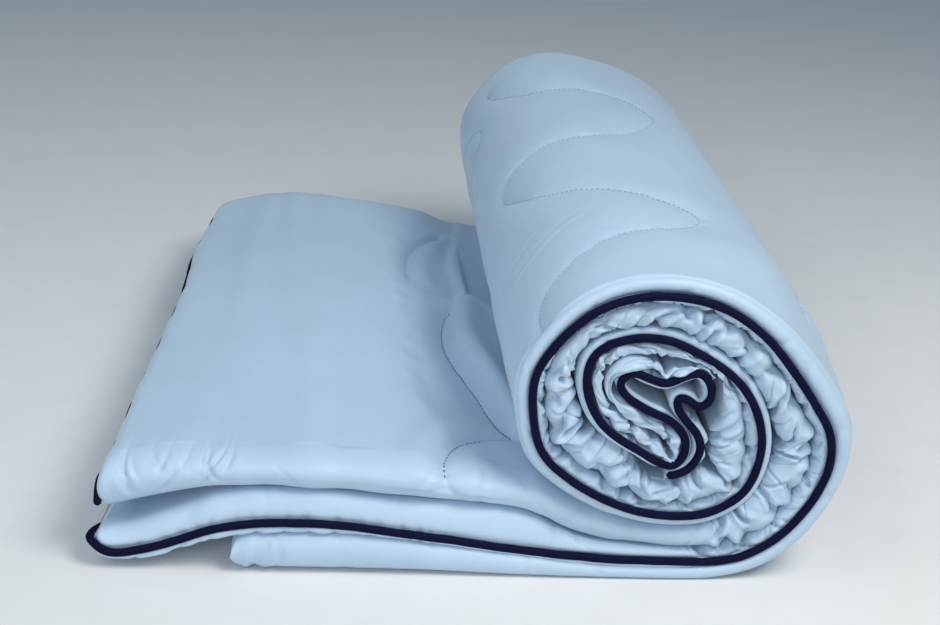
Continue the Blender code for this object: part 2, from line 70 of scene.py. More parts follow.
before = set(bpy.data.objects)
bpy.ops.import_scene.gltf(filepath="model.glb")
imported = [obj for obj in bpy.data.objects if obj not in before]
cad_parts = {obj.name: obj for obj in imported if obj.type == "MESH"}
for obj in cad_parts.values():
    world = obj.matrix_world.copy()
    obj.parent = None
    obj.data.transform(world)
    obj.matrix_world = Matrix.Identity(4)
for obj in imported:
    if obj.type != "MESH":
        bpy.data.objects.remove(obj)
CAD_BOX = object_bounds()
PIECE_COLLECTION = bpy.data.collections.new("blanket_pieces")
bpy.context.scene.collection.children.link(PIECE_COLLECTION)

# ---------------------------------------------------------------- places, from the frame

MM = 0.001
TAIL_FROM = -0.495  # the tail's end on the section
SHIFT_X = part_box("top_leaf_flap_cover")[0][0] - TAIL_FROM  # from the section to the model
LEAF_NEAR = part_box("bottom_leaf_cover")[0][1]
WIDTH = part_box("bottom_leaf_cover")[1][1] - LEAF_NEAR
BOTTOM_LEAF_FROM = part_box("bottom_leaf_cover")[0][0] - SHIFT_X
PIPING_Y = (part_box("roll_piping")[0][1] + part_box("roll_piping")[1][1]) / 2 - LEAF_NEAR
PIPING_RADIUS = (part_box("roll_piping")[1][1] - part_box("roll_piping")[0][1]) / 2
ROLL_AXIS = (0.0, 0.140)  # middle of the roll on the section

# The seam line, as x and height on the section in millimetres: the tail, the roll's turns, and the crumpled end in the
# middle.  It runs close to the model's own seam line, and the tail's lie is drawn more finely.
TAIL_LINE = [
    (-495, 22), (-480, 15), (-454, 18), (-425, 27), (-395, 38), (-365, 44), (-325, 46), (-280, 44),
    (-236, 38), (-190, 32), (-150, 26),
]
ROLL_LINE = [
    (-100, 20), (-50, 16), (0, 15), (40, 16), (70, 25), (96, 46), (117, 78), (127, 112), (123, 141),
    (108, 166), (85, 197), (57, 228), (22, 251), (-18, 261), (-58, 258), (-88, 244), (-113, 219),
    (-130, 188), (-130, 154), (-120, 118), (-95, 93), (-54, 70), (-13, 60), (26, 63), (55, 83), (66, 118),
    (61, 152), (42, 184), (8, 209), (-26, 223), (-59, 222), (-82, 209), (-88, 186), (-80, 158),
    (-64, 138), (-36, 120),
]
CORE_LINE = [
    (-19, 110), (-8, 108), (0, 118), (0, 133), (-12, 148), (-36, 160), (-54, 172), (-60, 183), (-51, 193),
    (-36, 188), (-21, 184), (-6, 191), (6, 194), (16, 184), (17, 170), (9, 163), (-2, 170), (-10, 171),
    (-9, 161), (0, 149), (10, 137), (14, 124), (11, 113), (4, 104), (-6, 99), (-15, 98),
]
# Heights on the tail in millimetres: x, bottom and top of the middle leaf, bottom and top of the top leaf
TAIL_HEIGHTS = [
    (-495, 15, 29, 48, 90), (-480, 9, 31, 51, 94), (-454, 9, 38, 58, 97), (-425, 18, 50, 67, 99),
    (-395, 30, 64, 71, 100), (-365, 36, 71, 73, 101), (-325, 38, 71, 72, 101), (-280, 38, 68, 69, 100),
    (-236, 34, 64, 65, 97), (-190, 28, 61, 62, 93), (-150, 22, 57, 58, 88), (-117, 18, 52, 53, 83),
]
JOIN_FROM, JOIN_TO = -128 * MM, -88 * MM
FLAT_UP_TO = 34 * MM
OUTER_RIM, CORE_RIM = 0.0145, 0.0066
RIM_FULLER = 0.0040  # the rim is this much fuller at the roll's right side
SEAM_TO_BOTTOM_LEAF, SEAM_TO_TOP_LEAF = 0.36, 0.29
SEAM_IN_ROLL = 0.10  # in the roll the bottom leaf's edge comes up to the piping
MOST_INNER = 0.052
BEND_SHARE = 0.72
TOP_LEAF_STOPS = 0.149
FILLS_CORE = 1.62  # the top leaf takes this share of the half gap where it faces a leaf end without one
LEAF_GAP = 0.0003
OUTER_TURN = (0.62, 0.62 + 0.80)  # lengths along the seam between which it runs once round the roll
SAME_TURN = 0.028  # points nearer than this along the seam don't face each other
NO_FACE = 1e3


# ---------------------------------------------------------------- the section in fine steps

def smooth_line(points, step=0.001):
    """A centripetal Catmull-Rom curve through the points, in steps of about a millimetre."""
    points = np.asarray(points, float)
    ends = np.vstack([2 * points[0] - points[1], points, 2 * points[-1] - points[-2]])
    line = []
    for p0, p1, p2, p3 in zip(ends, ends[1:], ends[2:], ends[3:]):
        t1 = math.sqrt(np.linalg.norm(p1 - p0))
        t2 = t1 + math.sqrt(np.linalg.norm(p2 - p1))
        t3 = t2 + math.sqrt(np.linalg.norm(p3 - p2))
        count = max(2, round(np.linalg.norm(p2 - p1) / step))
        t = (t1 + (t2 - t1) * np.arange(count) / count)[:, None]
        a1 = p0 * ((t1 - t) / t1) + p1 * (t / t1)
        a2 = p1 * ((t2 - t) / (t2 - t1)) + p2 * ((t - t1) / (t2 - t1))
        a3 = p2 * ((t3 - t) / (t3 - t2)) + p3 * ((t - t2) / (t3 - t2))
        b1 = a1 * ((t2 - t) / t2) + a2 * (t / t2)
        b2 = a2 * ((t3 - t) / (t3 - t1)) + a3 * ((t - t1) / (t3 - t1))
        line.append(b1 * ((t2 - t) / (t2 - t1)) + b2 * ((t - t1) / (t2 - t1)))
    return np.vstack([*line, points[-1:]])


def lengths_along(line):
    return np.concatenate([[0.0], np.cumsum(np.linalg.norm(np.diff(line, axis=0), axis=1))])


def box_filter(values, reach, rounds=2):
    """Values smoothed along their length, with the ends held."""
    values = np.asarray(values, float)
    kernel = np.ones(2 * reach + 1) / (2 * reach + 1)
    columns = values if values.ndim == 2 else values[:, None]
    for _ in range(rounds):
        padded = np.pad(columns, ((reach, reach), (0, 0)), mode="edge")
        columns = np.stack([np.convolve(c, kernel, "valid") for c in padded.T], axis=1)
    return columns if values.ndim == 2 else columns[:, 0]


def lowest_near(values, reach):
    padded = np.pad(values, reach, mode="edge")
    return np.min([padded[k:k + len(values)] for k in range(2 * reach + 1)], axis=0)


def unit(vectors):
    return vectors / np.maximum(np.linalg.norm(vectors, axis=-1, keepdims=True), 1e-12)


def bend_radii(line, reach):
    """Signed radius of the bend at each point: above 0 where it bends to the left."""
    index = np.arange(len(line))
    a, b, c = line[np.maximum(index - reach, 0)], line, line[np.minimum(index + reach, len(line) - 1)]
    u, v, w = b - a, c - b, c - a
    cross = u[:, 0] * v[:, 1] - u[:, 1] * v[:, 0]
    size = np.linalg.norm(u, axis=1) * np.linalg.norm(v, axis=1) * np.linalg.norm(w, axis=1)
    return np.where(np.abs(cross) < 1e-12, 1e3, size / np.where(np.abs(cross) < 1e-12, 1, 2 * cross))


def smoothstep(value, low, high):
    t = np.clip((value - low) / (high - low), 0, 1)
    return t * t * (3 - 2 * t)


class Section:
    """The faces of the leaves on the section, in steps of about a millimetre along the piped seam."""

    def __init__(self):
        scale = lambda rows: np.array(rows, float) * MM
        self.line = smooth_line(scale(TAIL_LINE + ROLL_LINE + CORE_LINE))
        self.s = lengths_along(self.line)
        self.total = self.s[-1]
        self.foot_s = lengths_along(scale(TAIL_LINE + ROLL_LINE[:5]))[-1]
        self.core_s = lengths_along(scale(TAIL_LINE + ROLL_LINE))[-1]
        along = np.gradient(self.line, axis=0)
        self.normal = unit(np.stack([-along[:, 1], along[:, 0]], axis=1))
        rim, inner = self.reaches()
        in_roll = smoothstep(self.s, self.foot_s - 0.10, self.foot_s + 0.06)
        to_bottom = SEAM_TO_BOTTOM_LEAF + (SEAM_IN_ROLL - SEAM_TO_BOTTOM_LEAF) * in_roll
        faces = {"floor": -rim, "low": -rim * to_bottom, "high": inner * SEAM_TO_TOP_LEAF, "top": inner}
        self.faces = {key: self.line + self.normal * reach[:, None] for key, reach in faces.items()}
        self.faces["high2"] = self.faces["high"].copy()
        self.join_tail()
        angle = np.arctan2(self.line[:, 1] - ROLL_AXIS[1], self.line[:, 0] - ROLL_AXIS[0])
        self.turn = np.unwrap(angle)

    def reaches(self):
        """How far the leaves reach from the seam line, outwards and inwards."""
        line, s, normal = self.line, self.s, self.normal
        turn_at = 0.55 * self.core_s
        share = np.clip((s - turn_at) / (self.core_s - turn_at), 0, 1)
        rim = OUTER_RIM * (1 - share) + CORE_RIM * share
        outer_turn = (s > 0.45) & (s < 0.5 * self.core_s)
        rim = rim + RIM_FULLER * smoothstep(line[:, 0], 0.040, 0.105) * outer_turn
        radius = bend_radii(line, 5)
        rim = np.where(radius < 0, np.minimum(rim, -radius * BEND_SHARE), rim)
        coarse = np.arange(0, len(line), 4)
        gap = line[coarse][None] - line[:, None]
        across = (gap * normal[:, None]).sum(2)
        ball = (gap**2).sum(2) / (2 * np.abs(across) + 1e-9)
        ball[np.abs(s[coarse][None] - s[:, None]) < SAME_TURN] = NO_FACE
        facing = {}
        for side in (1, -1):
            reach = np.where(across * side > 0, ball, NO_FACE)
            best = reach.argmin(axis=1)
            found = reach[np.arange(len(line)), best]
            towards = ((line - line[coarse[best]]) * normal[coarse[best]]).sum(1)
            facing[side] = (found, coarse[best], towards)
        found, _, towards = facing[-1]
        rim = np.where((found < NO_FACE) & (towards < 0), np.minimum(rim, found - LEAF_GAP), rim)
        rim = box_filter(lowest_near(rim, 5), 5)
        found, other, towards = facing[1]
        shared = np.where(s[other] > self.total - TOP_LEAF_STOPS, FILLS_CORE * found, found)
        limit = np.where(towards > 0, shared - LEAF_GAP, 2 * found - rim[other] - 2 * LEAF_GAP)
        inner = np.minimum(MOST_INNER, np.where(found < NO_FACE, limit, MOST_INNER))
        inner = np.where(radius > 0, np.minimum(inner, radius * BEND_SHARE), inner)
        return rim, box_filter(lowest_near(np.maximum(inner, 0.002), 6), 6)

    def join_tail(self):
        """On the tail the faces follow its own heights, which give way to the roll's fill at its foot."""
        x = self.line[:, 0]
        rows = np.array(TAIL_HEIGHTS, float) * MM
        on_tail = self.s < self.foot_s
        share = np.clip((JOIN_TO - x) / (JOIN_TO - JOIN_FROM), 0, 1) * on_tail
        share = (share * share * (3 - 2 * share))[:, None]
        under_roll = on_tail & (x < FLAT_UP_TO)
        self.faces["floor"][under_roll, 1] = 0.0
        heights = {"low": 1, "high": 2, "high2": 3, "top": 4}
        for key, face in self.faces.items():
            z = np.interp(x, rows[:, 0], rows[:, heights[key]]) if key in heights else np.zeros(len(x))
            flat = np.stack([x, z], axis=1)
            mixed = face * (1 - share) + flat * share
            smooth = box_filter(mixed, 9)
            soft = np.clip((self.foot_s - self.s) / 0.05, 0, 1)[:, None]
            self.faces[key] = mixed * (1 - soft) + smooth * soft
            self.faces[key][:, 1] = np.maximum(self.faces[key][:, 1], 0.0)

    def at(self, name, s):
        """Points of a face, or of the seam line, at these lengths along the seam."""
        points = self.line if name == "seam" else self.faces[name]
        return np.stack([np.interp(s, self.s, points[:, k]) for k in (0, 1)], axis=-1)

    def s_at_tail_x(self, x):
        """Length along the seam where the tail passes this x of the section."""
        last = int(np.argmax(self.s > self.foot_s))
        return float(np.interp(x, self.line[:last, 0], self.s[:last]))

    def s_at_turn(self, degrees):
        """Length along the seam where the outer turn stands at this angle, 90 at the top of the roll."""
        first, last = (int(np.argmax(self.s > s)) for s in OUTER_TURN)
        turn = np.degrees(self.turn[first:last])
        turn = turn - 360 * round((turn[0] - np.degrees(math.atan2(
            self.line[first, 1] - ROLL_AXIS[1], self.line[first, 0] - ROLL_AXIS[0]))) / 360)
        return np.interp(degrees, turn, self.s[first:last])


SECTION = Section()


# ---------------------------------------------------------------- seeded wobble and folds

def wobble(seed, x, y=0.0, waves=(0.16, 0.09, 0.05), slant=0.6):
    """A smooth uneven surface between about -1 and 1, of the same shape every run."""
    rng = np.random.default_rng(seed)
    total = 0.0
    for wave in waves:
        for _ in range(3):
            turn = rng.uniform(-slant, slant) + (math.pi / 2 if rng.random() < 0.4 else 0)
            length = wave * rng.uniform(0.8, 1.3)
            phase = rng.uniform(0, 2 * math.pi)
            total = total + np.sin((x * math.cos(turn) + y * math.sin(turn)) * 2 * math.pi / length + phase)
    return total / (1.7 * math.sqrt(3 * len(waves)))


def fold_set(seed, start, end, spacing, depth, width, reach=(-1.0, 1.0), slant=0.5):
    """Random creases along the seam: place, slant, the stretch of the edge that each crosses, depth, width."""
    rng = np.random.default_rng(seed)
    folds, s = [], start + spacing * rng.uniform(0.2, 0.8)
    while s < end:
        size = rng.uniform(0.35, 1.0) ** 1.3
        low = reach[0] + (reach[1] - reach[0]) * rng.uniform(0.0, 0.55)
        folds.append((s, rng.uniform(-slant, slant), low, reach[1], depth * size, width * rng.uniform(0.7, 1.4)))
        s += spacing * rng.uniform(0.45, 1.6)
    return folds


def press_folds(s, t, folds):
    """Depth that the folds press into an edge: s along the seam, t from -1 to 1 round the edge."""
    pressed = np.zeros(np.broadcast(s, t).shape)
    rows = s[:, 0]
    for place, slant, low, high, depth, width in folds:
        near = np.abs(rows - place) < 6 * width + abs(slant) * 0.02
        if not near.any():
            continue
        off = np.abs(s[near] - place - slant * 0.012 * t - 0.0015 * np.sin(t * 4 + place * 90))
        window = smoothstep(t, low - 0.25, low + 0.25) * (1 - smoothstep(t, high + 0.1, high + 0.5))
        lip = 0.30 * np.exp(-((off - 2.1 * width) / (1.2 * width)) ** 2)
        pressed[near] += depth * window * (np.exp(-off / width) - lip)
    return pressed


def crinkles(seed, s, w, size):
    """Crisp crease lines in every direction, from 0 to 1, for gathered cloth.  w is measured across the edge."""
    total = 0.0
    for k, share in enumerate((0.6, 0.4)):
        field = wobble(seed + k, s, w, waves=(size / (1 + k), 0.7 * size / (1 + k)), slant=1.5)
        total = total + share * (1 - np.minimum(1, np.abs(field) * 2.6)) ** 1.5
    return total


# ---------------------------------------------------------------- quilting lines

SEAM_REACH = 0.05  # a seam draws in no cloth beyond this
ROLL_SEAM_SHARP, ROLL_SEAM_SOFT, ROLL_SEAM_SWELL = 0.0028, 0.011, 0.045  # how wide its groove, valley and swell are
TAIL_SEAM_SHARP, TAIL_SEAM_SOFT = 0.0032, 0.010
MEANDER_FROM, MEANDER_TO = 26, -22  # degrees round the roll between which the meander on its right side swings
MEANDER_START, MEANDER_WAVES = 0.690, 5  # y where it starts, and how many waves it has
MEANDER_STEP, MEANDER_SWING = 0.0165, 0.016  # how far it goes along y for each point, and how far its tips swell
MOST_PAIRS = 4_000_000  # distances worked out at one time


def curve_through(points):
    """A smooth quilting line, in steps that are fine enough for the mesh."""
    return smooth_line(points, 0.003)


def roll_seams():
    """Quilting on the roll's outer turn, as (length along the seam line, y) lines.

    A meandering line runs along the roll.  Its fingers reach across the top from one side to the other.
    Another meander lies on the roll's right side, and the far end of a third one shows at the left.
    """
    fingers = [
        (143, 700), (141, 670), (138, 655), (132, 628), (124, 602), (114, 591), (100, 587), (89, 582), (77, 566),
        (70, 529), (77, 472), (86, 436), (97, 414), (108, 406), (124, 404), (141, 398), (147, 378), (149, 344),
        (144, 316), (131, 268), (112, 236), (96, 218), (84, 200), (78, 176), (82, 150), (96, 126), (114, 110),
        (128, 90), (141, 66), (147, 36), (147, 6),
    ]
    left_end = [(214, 700), (188, 690), (168, 668), (152, 622), (154, 590), (166, 556), (184, 530), (214, 516)]
    lines = [[(SECTION.s_at_turn(a), y * MM) for a, y in line] for line in (fingers, left_end)]
    middle, half = (MEANDER_FROM + MEANDER_TO) / 2, (MEANDER_FROM - MEANDER_TO) / 2
    right = []
    for k in range(MEANDER_WAVES * 8):
        phase = k / 8 * 2 * math.pi
        angle = middle + half * math.sin(phase) * (1 - 0.12 * math.cos(2 * phase))
        y = MEANDER_START - k * MEANDER_STEP + MEANDER_SWING * math.sin(2 * phase)
        right.append((SECTION.s_at_turn(angle), y))
    return [curve_through(line) for line in [*lines, right]]


def roll_creases():
    """Long soft creases that run slantwise down the roll's left side."""
    creases = [
        [(176, 128), (162, 136), (148, 148), (135, 160), (122, 176)],
        [(180, 166), (166, 172), (152, 184), (140, 198)],
    ]
    return [curve_through([(SECTION.s_at_turn(a), y * MM) for a, y in line]) for line in creases]


def tail_seams():
    """Quilting on the top leaf by the foot of the roll, as (x on the section, y) lines."""
    lobes = [
        [(-120, 422), (-137, 421), (-151, 419), (-165, 411), (-176, 395), (-182, 370), (-184, 340), (-183, 305),
         (-178, 277), (-161, 212), (-154, 183), (-141, 128), (-131, 108)],
        [(-118, 104), (-136, 100), (-158, 91), (-180, 72), (-192, 50), (-199, 27), (-199, 9)],
    ]
    return [curve_through(np.array(line) * MM) for line in lobes]


def edge_seam_line():
    """Where the near lobe's seam runs on down the leaf's near edge, as (x on the section, height)."""
    return curve_through(np.array([(-200, 99), (-199, 90), (-197, 82), (-191, 73), (-182, 65)]) * MM)


def distance_to(points, lines):
    """Distance of each (a, b) point to the nearest of the lines, up to SEAM_REACH."""
    best = np.full(len(points), SEAM_REACH)
    for line in lines:
        low, high = line.min(axis=0) - SEAM_REACH, line.max(axis=0) + SEAM_REACH
        inside = np.flatnonzero(((points > low) & (points < high)).all(axis=1))
        for chunk in np.array_split(inside, max(1, len(inside) * len(line) // MOST_PAIRS)):
            if len(chunk):
                gap = np.linalg.norm(points[chunk][:, None] - line[None], axis=2).min(axis=1)
                best[chunk] = np.minimum(best[chunk], gap)
    return best


# ---------------------------------------------------------------- building a leaf

COARSE_STEP = 0.045  # across a leaf where nothing shows
ABOVE_FLOOR = 0.0004
EDGE_FULLNESS = 0.85  # below 1 the edge is squarer than a half circle


def edge_angles(count):
    return (np.arange(count) + 0.5) / count * math.pi - math.pi / 2


def fractions(first_steps, fine_step, coarse_step):
    """Places across the width from 0 to 1: fine by both edges, with the rest at a fine or a coarse step.

    Gives the places and which of them a coarse stretch keeps.
    """
    lead = np.cumsum(first_steps)
    middle = WIDTH - 2 * lead[-1]
    coarse = max(2, round(middle / coarse_step))
    per = max(1, round(middle / coarse / fine_step))
    inner = lead[-1] + middle * np.arange(1, coarse * per) / (coarse * per)
    places = np.concatenate([[0.0], lead, inner, WIDTH - lead[::-1], [WIDTH]]) / WIDTH
    keep = np.ones(len(places), bool)
    first = 1 + len(lead)
    keep[first:first + len(inner)] = (np.arange(1, coarse * per) % per) == 0
    return places, keep


class Profile:
    """The closed line round a leaf at one station: outer face, near edge, inner face, far edge."""

    def __init__(self, edge_points, lead, outer_step, inner_step):
        outer, keep_outer = fractions(lead, outer_step, COARSE_STEP)
        inner, keep_inner = fractions(lead, inner_step, COARSE_STEP)
        angles = edge_angles(edge_points)
        ones = np.ones(edge_points)
        self.angle = np.concatenate([
            np.full(len(outer), -math.pi / 2), angles, np.full(len(inner), math.pi / 2), angles[::-1],
        ])
        self.across = np.concatenate([outer[::-1], 0 * ones, inner, ones])
        self.part = np.concatenate([
            np.zeros(len(outer), int), ones.astype(int), np.full(len(inner), 2), 3 * ones.astype(int),
        ])
        keep = np.ones(edge_points, bool)
        self.keep = np.concatenate([keep_outer[::-1], keep, keep_inner, keep])


def stations(start, end, step, end_round):
    """Lengths along the seam, close together where the leaf's two ends round off."""
    ramp = end_round * (1 - np.cos(np.linspace(0, math.pi / 2, 9)))
    middle_from, middle_to = start + end_round, end - end_round
    count = max(2, round((middle_to - middle_from) / step))
    return np.concatenate([start + ramp[:-1], np.linspace(middle_from, middle_to, count + 1), (end - ramp[::-1])[1:]])


def end_round_off(s, start, end, reach):
    """1 along the leaf, and falling to 0 at its two ends along a quarter circle."""
    def quarter(d):
        return np.sqrt(np.clip(1 - np.clip(1 - d / reach, 0, 1) ** 2, 0, 1))
    return np.maximum(quarter(s - start) * quarter(end - s), 0.04)


def plan_corner(along, radius):
    """How far the edge is set in, this far from the end, where the plan has a round corner."""
    inside = np.clip(radius - along, 0, radius)
    return radius - np.sqrt(np.maximum(radius**2 - inside**2, 0))


def grid_mesh(name, points, present, uv):
    """A mesh of rings.  Where a fine ring meets a coarse one, faces with more corners join them."""
    rings, columns = present.shape
    index = np.full(present.shape, -1)
    index[present] = np.arange(present.sum())
    vertices = points[present]
    faces = []
    quads = []
    for fine in (True, False):
        same = np.array([
            (present[i] == present[i + 1]).all() and present[i].all() == fine for i in range(rings - 1)
        ])
        rows = np.flatnonzero(same)
        if len(rows) == 0:
            continue
        cols = np.flatnonzero(present[rows[0]])
        nxt = np.roll(cols, -1)
        a, b = index[rows][:, cols], index[rows][:, nxt]
        c, d = index[rows + 1][:, nxt], index[rows + 1][:, cols]
        quads.append(np.stack([d, c, b, a], axis=2).reshape(-1, 4))
    for i in range(rings - 1):
        if (present[i] == present[i + 1]).all():
            continue
        coarse = np.flatnonzero(present[i] & present[i + 1])
        for j, k in zip(coarse, np.roll(coarse, -1)):
            span = np.arange(j, k + 1) if k > j else np.array([j, k])
            first = [index[i, m] for m in span if present[i, m]]
            second = [index[i + 1, m] for m in span if present[i + 1, m]]
            faces.append(second + first[::-1])
    faces.append([v for v in index[0] if v >= 0])
    faces.append([v for v in index[-1] if v >= 0][::-1])
    quads = np.concatenate(quads)
    loops = np.concatenate([quads.ravel(), *[np.array(f) for f in faces]]).astype(np.int32)
    sizes = np.concatenate([np.full(len(quads), 4), [len(f) for f in faces]]).astype(np.int32)
    mesh = bpy.data.meshes.new(name)
    mesh.vertices.add(len(vertices))
    mesh.vertices.foreach_set("co", vertices.astype(np.float32).ravel())
    mesh.loops.add(len(loops))
    mesh.loops.foreach_set("vertex_index", loops)
    mesh.polygons.add(len(sizes))
    mesh.polygons.foreach_set("loop_start", np.concatenate([[0], np.cumsum(sizes)[:-1]]).astype(np.int32))
    mesh.polygons.foreach_set("loop_total", sizes)
    mesh.update(calc_edges=True)
    layer = mesh.uv_layers.new(name="Cloth")
    layer.data.foreach_set("uv", uv[present][loops].astype(np.float32).ravel())
    mesh.shade_smooth()
    mesh.validate()
    return mesh


def place_in_world(x, y, z):
    """From the section's x, the width's y and the height to the model's frame."""
    return np.stack([x + SHIFT_X, LEAF_NEAR + y, z], axis=-1)


def add_piece(name, mesh, material):
    piece = bpy.data.objects.new(name, mesh)
    PIECE_COLLECTION.objects.link(piece)
    mesh.materials.append(material)
    return piece


class Leaf:
    """Everything that one leaf's mesh needs.  Its parts are worked out on a grid of stations by profile."""

    def __init__(
            self, outer, inner, start, end, profile, step, fine, end_round, edge_depth, deepest=0.020, centre=None):
        self.s1 = stations(start, end, step, end_round)
        self.start = start
        self.profile = profile
        self.s = self.s1[:, None]
        a, b = SECTION.at(outer, self.s1), SECTION.at(inner, self.s1)
        mid = (a + b) / 2 if centre is None else SECTION.at(centre, self.s1)
        closing = end_round_off(self.s1, start, end, end_round)[:, None]
        self.mid = mid
        self.low, self.high = (mid - a) * closing, (b - mid) * closing
        self.normal = unit(b - a)
        fine_rows = np.array([any(f <= v <= g for f, g in fine) for v in self.s1])
        self.present = np.where(fine_rows[:, None], True, profile.keep[None])
        thick = [np.linalg.norm(side, axis=1) for side in (self.low, self.high)]
        self.edge_low, self.edge_high = (np.minimum(edge_depth * t, deepest)[:, None] for t in thick)
        self.near_in = np.zeros(len(self.s1))
        self.far_in = np.zeros(len(self.s1))

    def build(self, name, press, lift=None, shift=None):
        """The mesh.  press moves points inwards, lift moves them up or down, and shift moves them along x."""
        p = self.profile
        angle, across, part = p.angle[None], p.across[None], p.part[None]
        v = np.sin(angle)
        fat = np.sign(v) * np.abs(v) ** EDGE_FULLNESS
        push = np.where(fat < 0, 0, fat)[..., None] * self.high[:, None]
        pull = np.where(fat < 0, -fat, 0)[..., None] * self.low[:, None]
        section = self.mid[:, None] + push - pull
        near, far = self.near_in[:, None], WIDTH - self.far_in[:, None]
        edge = np.where(v < 0, self.edge_low, self.edge_high)
        rounding = edge * (1 - np.cos(angle))
        inner_width = far - near - 2 * edge
        y = np.where(part == 3, far - rounding, near + rounding)
        y = np.where((part == 0) | (part == 2), near + edge + across * inner_width, y)
        normal3 = np.stack([
            self.normal[:, None, 0] * v, np.cos(angle) * np.where(part == 3, 1.0, -1.0) + 0 * self.s,
            self.normal[:, None, 1] * v,
        ], axis=-1)
        points = np.stack([section[..., 0], y, section[..., 1]], axis=-1)
        points = points - normal3 * press(self, points, v, part)[..., None]
        if lift is not None:
            points[..., 2] += lift(self, points, v, part)
        if shift is not None:
            points[..., 0] += shift(self, points)
        points[..., 2] = np.maximum(points[..., 2], ABOVE_FLOOR)
        uv = np.stack([np.broadcast_to(self.s, y.shape), y], axis=-1)
        world = place_in_world(points[..., 0], points[..., 1], points[..., 2])
        return grid_mesh(name, world, self.present, uv)


# ---------------------------------------------------------------- the tail's own lie

def outline_x(points):
    """Columns of an outline given in millimetres as (x on the section, y), in metres and in order of y."""
    rows = np.array(points, float) * MM
    return rows[:, 1], rows[:, 0]


TAIL_EDGE_Y, TAIL_EDGE_X = outline_x([
    (-495, 0), (-487, 60), (-478, 190), (-463, 360), (-459, 510), (-448, 661), (-441, 760),
])
SHOULDER_Y, SHOULDER_X = outline_x([
    (-200, 20), (-203, 68), (-213, 100), (-230, 197), (-234, 320), (-238, 464), (-240, 556), (-226, 640),
    (-204, 700), (-190, 760),
])
CREASE_Y, CREASE_X = outline_x([
    (-128, 40), (-132, 104), (-141, 130), (-154, 183), (-161, 212), (-178, 277), (-183, 305), (-184, 345),
    (-180, 382), (-174, 408), (-168, 432), (-168, 470), (-172, 560), (-160, 660), (-150, 760),
])
FAR_FOLD_Y, FAR_FOLD_X = outline_x([
    (-213, 440), (-215, 466), (-217, 515), (-215, 557), (-209, 596), (-198, 632), (-184, 657), (-168, 677),
    (-150, 690),
])
FOOT_FOLD_X = -0.151  # a low strip lies between this and the roll, behind the stitched lobes
STRIP_DROP, FAR_FOLD_DROP, LOBE_PUFF = 0.0065, 0.0085, 0.0052
SHOULDER_ROUND = 0.024  # the slope to the crease starts within this
LOBE_FROM, LOBE_TO = 0.125, 0.402  # the stretch of y that the far lobe fills
FAR_DROOP = [(-495, 0.16), (-380, 0.19), (-215, 0.34), (-129, 0.48), (-60, 0.30), (0, 0.0)]
FAR_CORNER, NEAR_CORNER, TOP_NEAR_CORNER = 0.060, 0.014, 0.012


def tail_skew(x, y):
    """How far the tail's upper leaves shift at this place, because their far corner is pulled in."""
    inward = np.interp(y, TAIL_EDGE_Y, TAIL_EDGE_X) - TAIL_FROM + 0.0022 * wobble(31, y, waves=(0.13, 0.06))
    return inward * smoothstep(-x, 0.27, 0.47)


def far_droop(x, y):
    """Share of its height above the bottom leaf that the tail loses towards its far side."""
    rows = np.array(FAR_DROOP)
    return np.interp(x, rows[:, 0] * MM, rows[:, 1]) * smoothstep(y, 0.40, 0.80)


def within(value, low, high, soft):
    """1 between low and high, and falling to 0 over a soft stretch outside them."""
    return smoothstep(value, low - soft, low) * (1 - smoothstep(value, high, high + soft))


def sink_by_roll(x, y, depth):
    """How far the top leaf sinks before the roll: a slope down to a crease, with puffy lobes beyond it."""
    wave = 0.0025 * wobble(32, y, waves=(0.11, 0.05))
    shoulder = np.interp(y, SHOULDER_Y, SHOULDER_X) + wave
    crease = np.interp(y, CREASE_Y, CREASE_X)
    off = x - crease
    past = x - shoulder
    slope = 0.45 * smoothstep(past / SHOULDER_ROUND, 0, 1) + 0.55 * smoothstep(past / (crease - shoulder), 0, 1)
    along = (0.12 + 0.88 * smoothstep(y, 0.045, 0.17)) * (1 - 0.55 * smoothstep(y, 0.58, 0.70))
    lobes = within(y, LOBE_FROM, LOBE_TO, 0.014)
    rise = 0.42 + 0.50 * lobes
    hollow = slope * np.where(off > 0, 1 - rise * smoothstep(off, 0.0, 0.013), 1.0)
    puff = LOBE_PUFF * np.exp(-(((off - 0.021) / 0.013) ** 2)) * lobes
    fold_off = x - np.interp(y, FAR_FOLD_Y, FAR_FOLD_X)
    fold = np.where(fold_off > 0, np.exp(-fold_off / 0.011), np.exp(fold_off / 0.0035))
    lip = 0.45 * np.exp(-(((fold_off - 0.022) / 0.012) ** 2))
    far_fold = FAR_FOLD_DROP * (fold - lip) * within(y, 0.490, 0.670, 0.040) * (1 - smoothstep(x, -0.176, -0.152))
    strip = STRIP_DROP * smoothstep(x, FOOT_FOLD_X - 0.003, FOOT_FOLD_X + 0.004)
    strip = strip * smoothstep(y, 0.42, 0.45) * (1 - smoothstep(y, 0.50, 0.68))
    return depth * along * hollow - puff + far_fold + strip


# ---------------------------------------------------------------- the leaves

